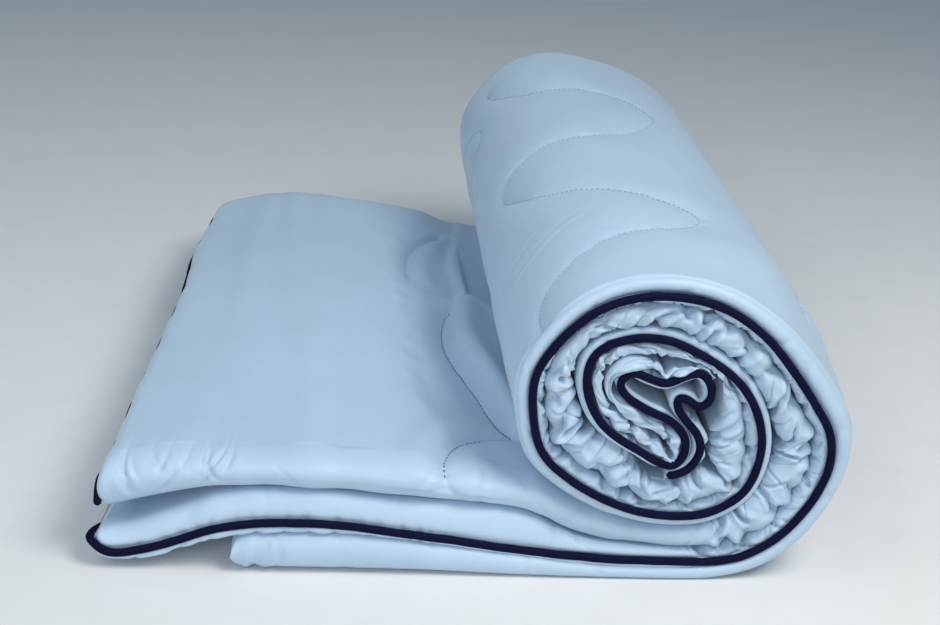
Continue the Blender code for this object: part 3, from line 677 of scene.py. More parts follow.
def bottom_leaf(sizes):
    end = SECTION.total - 0.0015
    start = SECTION.s_at_tail_x(BOTTOM_LEAF_FROM)
    barrel = (SECTION.foot_s - 0.02, SECTION.s_at_turn(236))  # the stretch that shows as the roll's skin
    profile = Profile(18, [0.004] * 6, sizes.barrel_step, 0.030)
    leaf = Leaf("floor", "low", start, end, profile, sizes.station_step, [barrel], 0.014, 1.25)
    past_foot = smoothstep(leaf.s1, SECTION.foot_s - 0.10, SECTION.foot_s + 0.12)
    leaf.near_in[:] = -sizes.edge_bulge - sizes.foot_spread * (1 - past_foot)
    leaf.far_in[:] = 0.003
    seams, creases = roll_seams(), roll_creases()
    folds = fold_set(5, start, end, 0.060, 0.0016, 0.0035, reach=(-0.9, 0.6), slant=0.5)
    pits = fold_set(6, start, start + 0.05, 0.012, 0.003, 0.003, reach=(-1.0, 0.4))

    def press(leaf, points, v, part):
        s, y = np.broadcast_to(leaf.s, points.shape[:2]), points[..., 1]
        shoulder = within(s, SECTION.s_at_turn(12), SECTION.s_at_turn(40), 0.11) * smoothstep(y, -0.03, 0.14)
        slump = within(s, SECTION.s_at_turn(62), SECTION.s_at_turn(76), 0.09) * smoothstep(y, 0.44, 0.74)
        full = (sizes.shoulder_fullness * shoulder - sizes.far_slump * slump) * np.clip(-v, 0, 1) ** 2
        outer = (part == 0) & (s > barrel[0]) & (s < barrel[1])
        depth = np.zeros(s.shape)
        flat = np.stack([s[outer], y[outer]], axis=1)
        gap = distance_to(flat, seams)
        pulled = 1 + 0.35 * wobble(41, flat[:, 0], flat[:, 1], waves=(0.05, 0.03, 0.017))
        groove, valley = np.exp(-gap / ROLL_SEAM_SHARP), np.exp(-((gap / ROLL_SEAM_SOFT) ** 2))
        quilt = sizes.quilt_depth * pulled * (groove + 0.7 * valley)
        gather = 0.0004 * np.exp(-gap / 0.012) * wobble(42, flat[:, 0], flat[:, 1], waves=(0.014, 0.010))
        swell = 0.0016 * smoothstep(gap, 0.0, ROLL_SEAM_SWELL)
        crease = distance_to(flat, creases)
        pleat = 0.0005 * np.exp(-(((crease - 0.006) / 0.005) ** 2)) - 0.0005 * np.exp(-((crease / 0.004) ** 2))
        depth[outer] = quilt + gather - swell + pleat
        lie = 0.0012 * wobble(43, s, y, waves=(0.32, 0.19, 0.12))
        soft = np.where(part == 0, 1.0, 0.4) * smoothstep(s, leaf.start + 0.01, leaf.start + 0.05)
        edge = np.exp(-np.clip(np.minimum(y, WIDTH - y) - 0.004, 0, None) / 0.020)
        return depth + lie * soft + edge * press_folds(leaf.s, v, folds + pits) - full

    return leaf.build("bottom_leaf", press)


def over_low_face(leaf, points, v, part):
    """The far droop, which squeezes the upper leaves down on the bottom leaf."""
    low = SECTION.at("low", leaf.s1)[:, 1][:, None]
    on_tail = 1 - smoothstep(leaf.s, SECTION.s_at_tail_x(-0.09), SECTION.s_at_tail_x(-0.02))
    return -(points[..., 2] - low) * far_droop(points[..., 0], points[..., 1]) * on_tail


def shift_tail(leaf, points):
    on_tail = (leaf.s < SECTION.foot_s - 0.15)
    return tail_skew(points[..., 0], points[..., 1]) * on_tail


def middle_leaf(sizes):
    profile = Profile(30, [0.0035] * 5, 0.026, 0.026)
    end = SECTION.total - 0.001
    leaf = Leaf("low", "high", 0.0, end, profile, sizes.station_step * 0.65, [], 0.006, 1.05, centre="seam")
    leaf.near_in[:] = plan_corner(leaf.s1, NEAR_CORNER) - sizes.edge_bulge
    leaf.far_in[:] = plan_corner(leaf.s1, FAR_CORNER)
    roll_from = SECTION.foot_s - 0.05
    fine = fold_set(11, roll_from, end, 0.0085, sizes.pucker_depth * 0.40, 0.0013, reach=(0.1, 1.0), slant=0.9)
    deep = fold_set(12, roll_from, end, 0.034, sizes.pucker_depth * 1.1, 0.0040, reach=(0.0, 1.0), slant=1.2)
    under = fold_set(13, 0.03, 0.30, 0.016, 0.0020, 0.0030, reach=(-1.0, -0.1), slant=0.8)
    tail = fold_set(14, 0.02, roll_from, 0.075, 0.0016, 0.0045, reach=(-0.1, 0.9), slant=2.4)
    far = fold_set(15, 0.05, end, 0.018, sizes.pucker_depth * 0.6, 0.0028, reach=(-0.9, 1.0))

    def press(leaf, points, v, part):
        y = points[..., 1]
        side = np.minimum(y - leaf.near_in[:, None], WIDTH - leaf.far_in[:, None] - y)
        edge = np.exp(-np.clip(side - 0.006, 0, None) / 0.016)
        near = y < WIDTH / 2
        below, above = (np.linalg.norm(face, axis=1)[:, None] for face in (leaf.low, leaf.high))
        size = np.where(v < 0, below, above)
        crease = sizes.edge_bulge * 1.3 * np.exp(-((v * size / 0.0030) ** 2)) * (part == 1)
        folds = np.where(near, press_folds(leaf.s, v, fine + deep + tail), press_folds(leaf.s, v, far))
        hanging = press_folds(leaf.s, -v, [(a, b, -0.2, 1.0, e, f) for a, b, c, d, e, f in under])
        in_roll = smoothstep(leaf.s, roll_from, roll_from + 0.05)
        folds = folds + 0.0006 * in_roll * crinkles(25, leaf.s, v * size, 0.020) * (v > 0.1)
        sag = 0.0062 * np.sin(np.clip(-v, 0, 1) ** 0.8 * math.pi) * (part == 1) * (1 - in_roll)
        folds = folds - sag
        lie = 0.0010 * wobble(21, leaf.s, y, waves=(0.11, 0.07, 0.04))
        return crease + edge * (folds + hanging * near) + lie * np.minimum(1, size / 0.006)

    return leaf.build("middle_leaf", press, over_low_face, shift_tail)


def top_leaf(sizes):
    profile = Profile(34, [0.0030] * 6, 0.026, sizes.tail_step)
    end = SECTION.total - TOP_LEAF_STOPS
    tail_to = SECTION.s_at_tail_x(-0.050)
    step = sizes.station_step * 0.7
    leaf = Leaf("high2", "top", 0.0, end, profile, step, [(-1.0, tail_to)], 0.015, 1.15, 0.0145)
    roll_from = SECTION.foot_s - 0.04
    on_roll = smoothstep(leaf.s1, roll_from - 0.12, roll_from + 0.05)
    leaf.near_in[:] = plan_corner(leaf.s1, TOP_NEAR_CORNER) + 0.0030 * (1 - on_roll) - 0.0062 * on_roll
    leaf.far_in[:] = plan_corner(leaf.s1, FAR_CORNER)
    leaf.edge_high = leaf.edge_high + (sizes.tail_edge - leaf.edge_high) * (1 - on_roll)[:, None]
    depth = sizes.pucker_depth
    gathers = fold_set(61, roll_from, end, 0.027, depth * 1.7, 0.0032, reach=(-1.0, 1.0), slant=1.3)
    small = fold_set(62, roll_from, end, 0.025, depth * 0.55, 0.0014, reach=(-1.0, 1.0), slant=1.5)
    pits = fold_set(63, roll_from, end, 0.038, depth * 2.3, 0.0058, slant=0.6)
    low_pits = [(place, slant, -1.0, -0.45, deep, width) for place, slant, _, _, deep, width in pits]
    tail_puckers = fold_set(64, 0.024, 0.125, 0.0095, 0.0042, 0.0026, reach=(-0.5, 1.5), slant=1.6)
    tail_soft = fold_set(65, 0.10, roll_from, 0.050, 0.0014, 0.0040, reach=(-1.0, 0.8), slant=1.8)
    far = fold_set(66, roll_from, end, 0.026, depth * 0.8, 0.0036, reach=(-1.0, 1.0), slant=1.2)
    seams, edge_seam = tail_seams(), [edge_seam_line()]

    def press(leaf, points, v, part):
        x, y = points[..., 0], points[..., 1]
        s = np.broadcast_to(leaf.s, y.shape)
        side = np.minimum(y - leaf.near_in[:, None], WIDTH - leaf.far_in[:, None] - y)
        reach = np.where(leaf.s < roll_from, 0.013, 0.020)
        edge = np.exp(-np.clip(side - 0.008, 0, None) / reach)
        near = y < WIDTH / 2
        folds = press_folds(leaf.s, v, gathers + small + low_pits + tail_puckers + tail_soft)
        folds = np.where(near, folds, press_folds(leaf.s, v, far))
        on_top = (part == 2) & (s < tail_to)
        top_edge = (part == 1) & (s < tail_to) & (v > -0.2)
        seamed = on_top | top_edge
        pressed = np.zeros(y.shape)
        gap = distance_to(np.stack([x[seamed], y[seamed]], axis=1), seams)
        valley = np.exp(-gap / TAIL_SEAM_SHARP) + 0.9 * np.exp(-((gap / TAIL_SEAM_SOFT) ** 2))
        pressed[seamed] = sizes.quilt_depth * 2.6 * (valley - 0.9 * np.exp(-(((gap - 0.026) / 0.016) ** 2)))
        on_edge = (part == 1) & (s < tail_to) & (y < 0.011)
        gap = distance_to(np.stack([x[on_edge], points[..., 2][on_edge]], axis=1), edge_seam)
        pressed[on_edge] += sizes.quilt_depth * 1.6 * np.exp(-gap / TAIL_SEAM_SHARP)
        slow = wobble(71, x, y * 0.25, waves=(0.17, 0.10, 0.06), slant=0.35)
        lie = np.where(on_top, 0.0020, 0.0012) * slow
        in_roll = smoothstep(leaf.s, roll_from - 0.02, roll_from + 0.04)
        plump = 0.0014 * wobble(72, s, 0.0, waves=(0.06, 0.035)) * (part == 1) * in_roll
        thick = np.linalg.norm(leaf.low + leaf.high, axis=1)[:, None]
        folds = folds + in_roll * 0.0005 * crinkles(75, s, v * thick / 2, 0.036)
        return edge * folds + pressed + lie + plump

    def lift(leaf, points, v, part):
        drop = over_low_face(leaf, points, v, part)
        on_tail = 1 - smoothstep(leaf.s, SECTION.s_at_tail_x(-0.09), SECTION.s_at_tail_x(-0.04))
        upper = (v + 1) / 2
        return drop - upper * sink_by_roll(points[..., 0], points[..., 1], sizes.hollow_depth) * on_tail

    return leaf.build("top_leaf", press, lift, shift_tail)


# ---------------------------------------------------------------- piping and stitching

PIPING_SIDES = 14
TUCKED_IN, TUCKED_DOWN = 0.0062, 0.0060  # how far the seam piping goes under the tail's end
END_PIPING_LOW, END_PIPING_RISE = 0.0545, 0.0140  # height of the top leaf's end piping at the near corner, and its rise
STITCH_SIDES = 6
STITCH_RISE = np.array([0.1, 0.9, 0.9, 0.1])  # height of a stitch over the cloth, as a share of its radius
RAY_FROM_ROLL, RAY_FROM_TAIL = 0.040, 0.012  # how far out the rays that find the cloth start


def even_path(points, step):
    points = np.asarray(points, float)
    along = lengths_along(points)
    places = np.linspace(0, along[-1], max(4, round(along[-1] / step)))
    return np.stack([np.interp(places, along, points[:, k]) for k in range(3)], axis=1)


def tube_mesh(name, path, radius, swell):
    """A closed tube with round ends along the path.  swell is how much fuller it is along its length."""
    along = lengths_along(path)
    ahead = unit(np.gradient(path, axis=0))
    side = np.cross(ahead, [0.0, 1.0, 0.0])
    weak = np.linalg.norm(side, axis=1) < 0.2
    side[weak] = np.cross(ahead[weak], [0.0, 0.0, 1.0])
    side = unit(side)
    for i in range(1, len(side)):
        if side[i] @ side[i - 1] < 0:
            side[i] = -side[i]
    up = np.cross(side, ahead)
    turn = np.linspace(0, 2 * math.pi, PIPING_SIDES, endpoint=False)
    size = radius * end_round_off(along, 0.0, along[-1], radius) * (1 + swell(along))
    ring = side[:, None] * np.cos(turn)[None, :, None] + up[:, None] * np.sin(turn)[None, :, None]
    points = path[:, None] + ring * size[:, None, None]
    uv = np.stack(np.broadcast_arrays(along[:, None], turn[None] * radius), axis=-1)
    return grid_mesh(name, points, np.ones(points.shape[:2], bool), uv)


def seam_piping_path():
    """Along the near edge from the core to the tail, round the near corner and along the tail's end."""
    s = np.arange(SECTION.total - 0.001, NEAR_CORNER + 0.002, -0.002)
    line = SECTION.at("seam", s)
    wave = 0.0005 * wobble(81, s, waves=(0.05, 0.03, 0.02))
    near = np.stack([line[:, 0], PIPING_Y + wave, line[:, 1]], axis=1)
    radius = NEAR_CORNER - PIPING_Y
    turn = np.radians(np.linspace(84, 6, 20))
    corner_x = TAIL_FROM + NEAR_CORNER - radius * np.cos(turn)
    corner = np.stack([corner_x, NEAR_CORNER - radius * np.sin(turn), 0 * turn], axis=1)
    y = np.arange(NEAR_CORNER + 0.002, WIDTH - FAR_CORNER, 0.003)
    left = np.stack([np.full(len(y), TAIL_FROM + PIPING_Y), y, 0 * y], axis=1)
    turn = np.radians(np.linspace(4, 80, 20))
    radius = FAR_CORNER - PIPING_Y
    centre_x, centre_y = TAIL_FROM + FAR_CORNER, WIDTH - FAR_CORNER
    far = np.stack([centre_x - radius * np.cos(turn), centre_y + radius * np.sin(turn), 0 * turn], axis=1)
    end = np.vstack([corner, left, far])
    tail = SECTION.s < SECTION.foot_s
    end[:, 2] = np.interp(end[:, 0], SECTION.line[tail, 0], SECTION.line[tail, 1])
    end[:, 2] = np.maximum(end[:, 2], PIPING_RADIUS + 0.001)
    tucked = smoothstep(end[:, 1], 0.012, 0.050)
    end[:, 0] += TUCKED_IN * tucked
    end[:, 2] = np.maximum(end[:, 2] - TUCKED_DOWN * tucked, PIPING_RADIUS + 0.001)
    path = np.vstack([near, end])
    path[:, 0] += tail_skew(path[:, 0], path[:, 1]) * (path[:, 2] < 0.1)
    return even_path(box_filter(path, 2, 1), 0.0022)


def end_piping_path(sizes):
    """Up the near end of the top leaf, then back along its left end, just under the bulge."""
    y = np.concatenate([np.linspace(0.001, 0.046, 24), np.arange(0.050, WIDTH - FAR_CORNER, 0.004)])
    rise = np.clip((y - 0.001) / 0.030, 0, 1)
    height = END_PIPING_LOW + END_PIPING_RISE * np.sin(rise * math.pi / 2) + 0.0010 * wobble(91, y, waves=(0.12, 0.06))
    proud = 0.0016 * np.exp(-(((y - 0.018) / 0.020) ** 2)) - sizes.end_piping_tuck
    left = np.stack([TAIL_FROM - proud + 0.004 * (1 - rise), y, height], axis=1)
    turn = np.radians(np.linspace(6, 84, 20))
    radius = FAR_CORNER - sizes.end_piping_tuck
    centre_x, centre_y = TAIL_FROM + FAR_CORNER, WIDTH - FAR_CORNER
    far = np.stack([
        centre_x - radius * np.cos(turn), centre_y + radius * np.sin(turn), np.full(len(turn), height[-1]),
    ], axis=1)
    path = np.vstack([left, far])
    path[:, 0] += tail_skew(path[:, 0], path[:, 1])
    path[:, 2] -= (path[:, 2] - 0.03) * far_droop(path[:, 0], path[:, 1])
    return even_path(box_filter(path, 2, 1), 0.0024)


def to_model(path):
    return place_in_world(path[:, 0], path[:, 1], path[:, 2])


def make_piping_mesh(name, path, sizes):
    radius = PIPING_RADIUS * sizes.piping_fullness
    return tube_mesh(name, to_model(path), radius, swell=lambda along: 0.035 * wobble(95, along, waves=(0.03, 0.018)))


def rays_to_roll(line):
    """Rays that meet the roll's skin square on, one for each point of a seam on the roll."""
    spots, back = SECTION.at("floor", line[:, 0]), SECTION.at("seam", line[:, 0])
    out = unit(spots - back)
    starts = spots + out * RAY_FROM_ROLL
    starts = place_in_world(starts[:, 0], line[:, 1], starts[:, 1])
    return starts, np.stack([-out[:, 0], 0 * out[:, 0], -out[:, 1]], axis=1)


def rays_to_tail(line):
    """Rays that come straight down on the tail, one for each point of a seam on the tail."""
    s = np.array([SECTION.s_at_tail_x(x) for x in line[:, 0]])
    starts = place_in_world(line[:, 0], line[:, 1], SECTION.at("top", s)[:, 1] + RAY_FROM_TAIL)
    return starts, np.tile((0.0, 0.0, -1.0), (len(line), 1))


def laid_on(cloth, starts, ahead):
    """Where the rays meet a leaf that is already built, with its normals there."""
    hits = [cloth.ray_cast(Vector(start), Vector(way)) for start, way in zip(starts, ahead)]
    hits = [hit for hit in hits if hit[0] is not None]
    if len(hits) < 2:
        raise RuntimeError("a stitching line misses its cloth")
    return np.array([hit[0] for hit in hits]), np.array([hit[1] for hit in hits])


def stitch_mesh(name, paths, sizes, thickness):
    """Short thread stitches along paths that lie on the cloth.  Each path has its points and its normals."""
    pitch = sizes.stitch_length + sizes.stitch_gap
    radius = thickness / 2
    points, faces = [], []
    turn = np.linspace(0, 2 * math.pi, STITCH_SIDES, endpoint=False)
    for path, normals in paths:
        along = lengths_along(path)
        for start in np.arange(0.002, along[-1] - pitch, pitch):
            places = np.linspace(start, start + sizes.stitch_length, 4)
            spine = np.stack([np.interp(places, along, path[:, k]) for k in range(3)], axis=1)
            out = unit(np.array([np.interp(start, along, normals[:, k]) for k in range(3)]))
            spine += out * radius * STITCH_RISE[:, None]
            ahead = unit(spine[-1] - spine[0])
            side = unit(np.cross(ahead, out))
            first = len(points)
            for k, centre in enumerate(spine):
                size = radius * (0.55 if k in (0, 3) else 1.0)
                points.extend(centre + size * (math.cos(t) * side + math.sin(t) * out) for t in turn)
            rings = np.arange(4 * STITCH_SIDES).reshape(4, STITCH_SIDES) + first
            for low, high in zip(rings, rings[1:]):
                faces.extend(zip(low, high, np.roll(high, -1), np.roll(low, -1)))
            faces += [rings[0], rings[-1][::-1]]
    mesh = bpy.data.meshes.new(name)
    mesh.from_pydata(points, [], [[int(v) for v in face] for face in faces])
    mesh.shade_smooth()
    return mesh


# ---------------------------------------------------------------- materials

class Nodes:
    """Adds and links shader nodes in one tree."""

    def __init__(self, tree):
        self.tree = tree

    def add(self, kind, values=None, **settings):
        node = self.tree.nodes.new("ShaderNode" + kind)
        for key, value in settings.items():
            setattr(node, key, value)
        for key, value in (values or {}).items():
            if isinstance(value, bpy.types.NodeSocket):
                self.tree.links.new(value, node.inputs[key])
            else:
                node.inputs[key].default_value = value
        return node

    def math(self, operation, a, b=0.0, c=0.0):
        return self.add("Math", {0: a, 1: b, 2: c}, operation=operation).outputs[0]

    def noise(self, scale, detail, **more):
        """A noise over the piece's own coordinates."""
        values = {"Vector": self.add("TexCoord").outputs["Object"], "Scale": scale, "Detail": detail, **more}
        return self.add("TexNoise", values).outputs[0]

    def mix(self, share, a, b):
        node = self.add("Mix", data_type="RGBA")
        for key, value in ((0, share), (6, a), (7, b)):
            if isinstance(value, bpy.types.NodeSocket):
                self.tree.links.new(value, node.inputs[key])
            else:
                node.inputs[key].default_value = value
        return node.outputs[2]


def group_tree(name, inputs):
    """An empty effect group with these inputs, which puts out a colour, a roughness and a height."""
    tree = bpy.data.node_groups.new(name, "ShaderNodeTree")
    for label, kind, value in inputs:
        socket = tree.interface.new_socket(label, in_out="INPUT", socket_type=kind)
        socket.default_value = value
    for label, kind in (("Colour", "Color"), ("Roughness", "Float"), ("Height", "Float")):
        tree.interface.new_socket(label, in_out="OUTPUT", socket_type="NodeSocket" + kind)
    return tree, Nodes(tree), tree.nodes.new("NodeGroupInput").outputs


def put_out(tree, colour, roughness, height):
    end = tree.nodes.new("NodeGroupOutput")
    for label, value in (("Colour", colour), ("Roughness", roughness), ("Height", height)):
        tree.links.new(value, end.inputs[label])
    return tree


def satin_weave_group():
    """Fine satin threads, uneven dye and soft crumples."""
    tree, n, inside = group_tree(
        "Satin weave",
        [
            ("Cloth Colour", "NodeSocketColor", (0.5, 0.65, 0.8, 1)),
            ("Shade Colour", "NodeSocketColor", (0.4, 0.55, 0.7, 1)),
            ("Thread Pitch", "NodeSocketFloat", 0.0007), ("Crumple", "NodeSocketFloat", 0.5),
            ("Roughness", "NodeSocketFloat", 0.45),
        ],
    )
    axes = n.add("SeparateXYZ", {0: n.add("TexCoord").outputs["UV"]})
    turns = n.math("DIVIDE", 2 * math.pi, inside["Thread Pitch"])
    warp = n.math("SINE", n.math("MULTIPLY", axes.outputs[0], turns))
    slanted = n.math("ADD", axes.outputs[1], n.math("MULTIPLY", axes.outputs[0], 0.25))
    weft = n.math("SINE", n.math("MULTIPLY", slanted, turns))
    threads = n.math("ADD", n.math("MULTIPLY", warp, 0.35), n.math("MULTIPLY", weft, 0.65))
    slub = n.noise(420.0, 3.0)
    dye = n.noise(9.0, 4.0, Roughness=0.6)
    crumple = n.noise(34.0, 5.0, Roughness=0.55, Distortion=0.8)
    ridge = n.math("ABSOLUTE", n.math("SUBTRACT", crumple, 0.5))
    tone = n.math("ADD", n.math("MULTIPLY", dye, 0.8), n.math("MULTIPLY", slub, 0.2))
    share = n.add("MapRange", {"Value": tone, "From Min": 0.36, "From Max": 0.66}, clamp=True).outputs[0]
    colour = n.mix(share, inside["Shade Colour"], inside["Cloth Colour"])
    rough = n.math("ADD", inside["Roughness"], n.math("MULTIPLY", n.math("SUBTRACT", slub, 0.5), 0.14))
    fine = n.math("ADD", n.math("MULTIPLY", threads, 0.05), n.math("MULTIPLY", slub, 0.08))
    height = n.math("ADD", fine, n.math("MULTIPLY", ridge, n.math("MULTIPLY", inside["Crumple"], 6.0)))
    return put_out(tree, colour, rough, height)


def surface_grain_group():
    """Fine grain and slight wear, for moulded plastic, films, foils and metal."""
    tree, n, inside = group_tree(
        "Surface grain",
        [
            ("Main Colour", "NodeSocketColor", (0.1, 0.1, 0.1, 1)),
            ("Worn Colour", "NodeSocketColor", (0.2, 0.2, 0.2, 1)),
            ("Grain Scale", "NodeSocketFloat", 800.0), ("Roughness", "NodeSocketFloat", 0.4),
        ],
    )
    grain = n.noise(inside["Grain Scale"], 4.0)
    patches = n.noise(22.0, 5.0)
    share = n.add("MapRange", {"Value": patches, "From Min": 0.45, "From Max": 0.75}, clamp=True).outputs[0]
    colour = n.mix(share, inside["Main Colour"], inside["Worn Colour"])
    rough = n.math("ADD", inside["Roughness"], n.math("MULTIPLY", n.math("SUBTRACT", grain, 0.5), 0.2))
    return put_out(tree, colour, rough, grain)


GROUPS = {}


def shared_group(name, build):
    if name not in GROUPS:
        GROUPS[name] = build()
    return GROUPS[name]


def finish_material(name, tree, values, bump, distance, shader_values):
    """A material whose colour, roughness and relief come from a shared group."""
    material = bpy.data.materials.new(name)
    material.use_nodes = True
    n = Nodes(material.node_tree)
    shader = material.node_tree.nodes["Principled BSDF"]
    effect = material.node_tree.nodes.new("ShaderNodeGroup")
    effect.node_tree = tree
    for key, value in values.items():
        effect.inputs[key].default_value = value
    relief = n.add("Bump", {"Strength": bump, "Distance": distance, "Height": effect.outputs["Height"]})
    material.node_tree.links.new(effect.outputs["Colour"], shader.inputs["Base Color"])
    material.node_tree.links.new(effect.outputs["Roughness"], shader.inputs["Roughness"])
    material.node_tree.links.new(relief.outputs[0], shader.inputs["Normal"])
    for key, value in shader_values.items():
        shader.inputs[key].default_value = value
    return material


def shaded(colour, share):
    return tuple(c * share for c in colour[:3]) + (1.0,)


def cloth_material(name, colour, crumple, roughness=0.46, sheen=0.25, pitch=0.0007):
    return finish_material(
        name, shared_group("satin", satin_weave_group),
        {
            "Cloth Colour": tuple(colour[:3]) + (1.0,), "Shade Colour": shaded(colour, 0.93), "Thread Pitch": pitch,
            "Crumple": crumple, "Roughness": roughness,
        },
        0.5, 0.0006,
        {"Sheen Weight": sheen, "Sheen Roughness": 0.4, "Specular IOR Level": 0.4 if sheen else 0.12},
    )


def grain_material(name, colour, worn, roughness, metallic=0.0, grain=800.0):
    return finish_material(
        name, shared_group("grain", surface_grain_group),
        {
            "Main Colour": tuple(colour) + (1.0,), "Worn Colour": tuple(worn) + (1.0,), "Grain Scale": grain,
            "Roughness": roughness,
        },
        0.2, 0.0002, {"Metallic": metallic},
    )


# ---------------------------------------------------------------- sizes and colours that a user may change

class BlanketSizes(bpy.types.PropertyGroup):
    """Sizes of the blanket's cloth, piping and stitches"""

    station_step: FloatProperty(
        name="Step Along The Seam", default=0.0021, unit="LENGTH",
        description="Spacing of the mesh along the piped seam")
    barrel_step: FloatProperty(
        name="Step On The Roll", default=0.0030, unit="LENGTH",
        description="Spacing of the mesh along the roll")
    tail_step: FloatProperty(
        name="Step On The Tail", default=0.0032, unit="LENGTH",
        description="Spacing of the mesh across the tail")
    edge_bulge: FloatProperty(
        name="Edge Bulge", default=0.0026, unit="LENGTH",
        description="How far the near edges puff out beside the piping")
    foot_spread: FloatProperty(
        name="Foot Spread", default=0.0090, unit="LENGTH",
        description="How far the bottom leaf spreads out under the tail")
    shoulder_fullness: FloatProperty(
        name="Shoulder Fullness", default=0.0165, unit="LENGTH",
        description="How far the roll's right side bulges out behind its near rim")
    far_slump: FloatProperty(
        name="Far Slump", default=0.0060, unit="LENGTH",
        description="How far the roll's top sinks towards its far end")
    tail_edge: FloatProperty(
        name="Tail Edge Roundness", default=0.0320, unit="LENGTH",
        description="How far the round of the tail's near edge reaches over its top")
    quilt_depth: FloatProperty(
        name="Quilting Depth", default=0.0014, unit="LENGTH",
        description="How deep the quilting lines lie")
    pucker_depth: FloatProperty(
        name="Gather Depth", default=0.0058, unit="LENGTH",
        description="Depth of the gathers in the rolled edges")
    hollow_depth: FloatProperty(
        name="Hollow Depth", default=0.0165, unit="LENGTH",
        description="How far the tail sinks before the roll")
    end_piping_tuck: FloatProperty(
        name="End Piping Tuck", default=0.0026, unit="LENGTH",
        description="How far the top leaf's end bulges over its piping")
    piping_fullness: FloatProperty(
        name="Piping Fullness", default=0.93,
        description="Thickness of the piping as a share of its cord in the model")
    stitch_length: FloatProperty(
        name="Stitch Length", default=0.0032, unit="LENGTH",
        description="Length of a quilting stitch")
    stitch_gap: FloatProperty(
        name="Stitch Gap", default=0.0022, unit="LENGTH",
        description="Gap between two stitches")
    thread_diameter: FloatProperty(
        name="Roll Thread Diameter", default=0.0007, unit="LENGTH",
        description="Diameter of the thread on the roll")
    tail_thread_diameter: FloatProperty(
        name="Tail Thread Diameter", default=0.0012, unit="LENGTH",
        description="Diameter of the doubled thread on the tail")


class BlanketColours(bpy.types.PropertyGroup):
    """Colours of the blanket and of the floor"""

    cloth: FloatVectorProperty(
        name="Cloth", default=(0.485, 0.635, 0.780), size=3, subtype="COLOR",
        description="Colour of the satin shell")
    piping: FloatVectorProperty(
        name="Piping", default=(0.0025, 0.003, 0.026), size=3, subtype="COLOR",
        description="Colour of the piping")
    # The tail and roll thread colours are one thread in two tones and carry painted shade of the quilting lines: the
    # tail thread is darkened to the shade in its creases, and the roll thread takes the cloth's shaded tone.
    thread: FloatVectorProperty(
        name="Tail Thread", default=(0.10, 0.17, 0.28), size=3, subtype="COLOR",
        description="Colour of the thread on the tail")
    roll_thread: FloatVectorProperty(
        name="Roll Thread", default=(0.27, 0.39, 0.53), size=3, subtype="COLOR",
        description="Colour of the thread on the roll")
    floor: FloatVectorProperty(
        name="Floor", default=(0.80, 0.80, 0.79), size=3, subtype="COLOR",
        description="Colour of the floor")


def blanket_sizes():
    return bpy.context.scene.blanket_sizes


def blanket_colours():
    return bpy.context.scene.blanket_colours


def bend_at(piece):
    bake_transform(piece)


class BLANKET_OT_bottom_leaf(bpy.types.Operator):
    """Build the bottom leaf: the roll's outer skin and the short leaf under the tail"""

    bl_idname = "blanket.bottom_leaf"
    bl_label = "Bottom Leaf"

    def execute(self, context):
        cloth = cloth_material("satin_roll", blanket_colours().cloth, 0.10)
        piece = add_piece("bottom_leaf", bottom_leaf(blanket_sizes()), cloth)
        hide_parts("bottom_leaf_cover", "bottom_leaf_batting")
        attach(piece, "roll")
        return {"FINISHED"}


class BLANKET_OT_middle_leaf(bpy.types.Operator):
    """Build the middle leaf, with the puckers beside the piping"""

    bl_idname = "blanket.middle_leaf"
    bl_label = "Middle Leaf"

    def execute(self, context):
        cloth = cloth_material("satin_middle", blanket_colours().cloth, 0.18)
        piece = add_piece("middle_leaf", middle_leaf(blanket_sizes()), cloth)
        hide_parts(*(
            f"middle_leaf_{part}_{layer}" for part in ("roll", "flap")
            for layer in ("batting", "inner_fabric", "outer_fabric")
        ))
        bend_at(piece)
        return {"FINISHED"}


class BLANKET_OT_top_leaf(bpy.types.Operator):
    """Build the top leaf: the tail's smooth top and the gathered band in the roll"""

    bl_idname = "blanket.top_leaf"
    bl_label = "Top Leaf"

    def execute(self, context):
        cloth = cloth_material("satin_top", blanket_colours().cloth, 0.14)
        piece = add_piece("top_leaf", top_leaf(blanket_sizes()), cloth)
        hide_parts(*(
            f"top_leaf_{part}_{layer}" for part in ("roll", "flap") for layer in ("batting", "cover")
        ))
        bend_at(piece)
        return {"FINISHED"}


class BLANKET_OT_piping(bpy.types.Operator):
    """Build the navy piping along the seam and round the tail's ends"""

    bl_idname = "blanket.piping"
    bl_label = "Piping"

    def execute(self, context):
        navy = cloth_material("navy_piping", blanket_colours().piping, 0.10, roughness=0.75, sheen=0.0, pitch=0.0005)
        sizes = blanket_sizes()
        seam = add_piece("seam_piping", make_piping_mesh("seam_piping", seam_piping_path(), sizes), navy)
        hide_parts("roll_piping", "middle_leaf_flap_piping")
        bend_at(seam)
        end = add_piece("top_leaf_end_piping", make_piping_mesh("end_piping", end_piping_path(sizes), sizes), navy)
        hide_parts("top_leaf_flap_end_piping")
        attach(end, "top_leaf_flap")
        return {"FINISHED"}


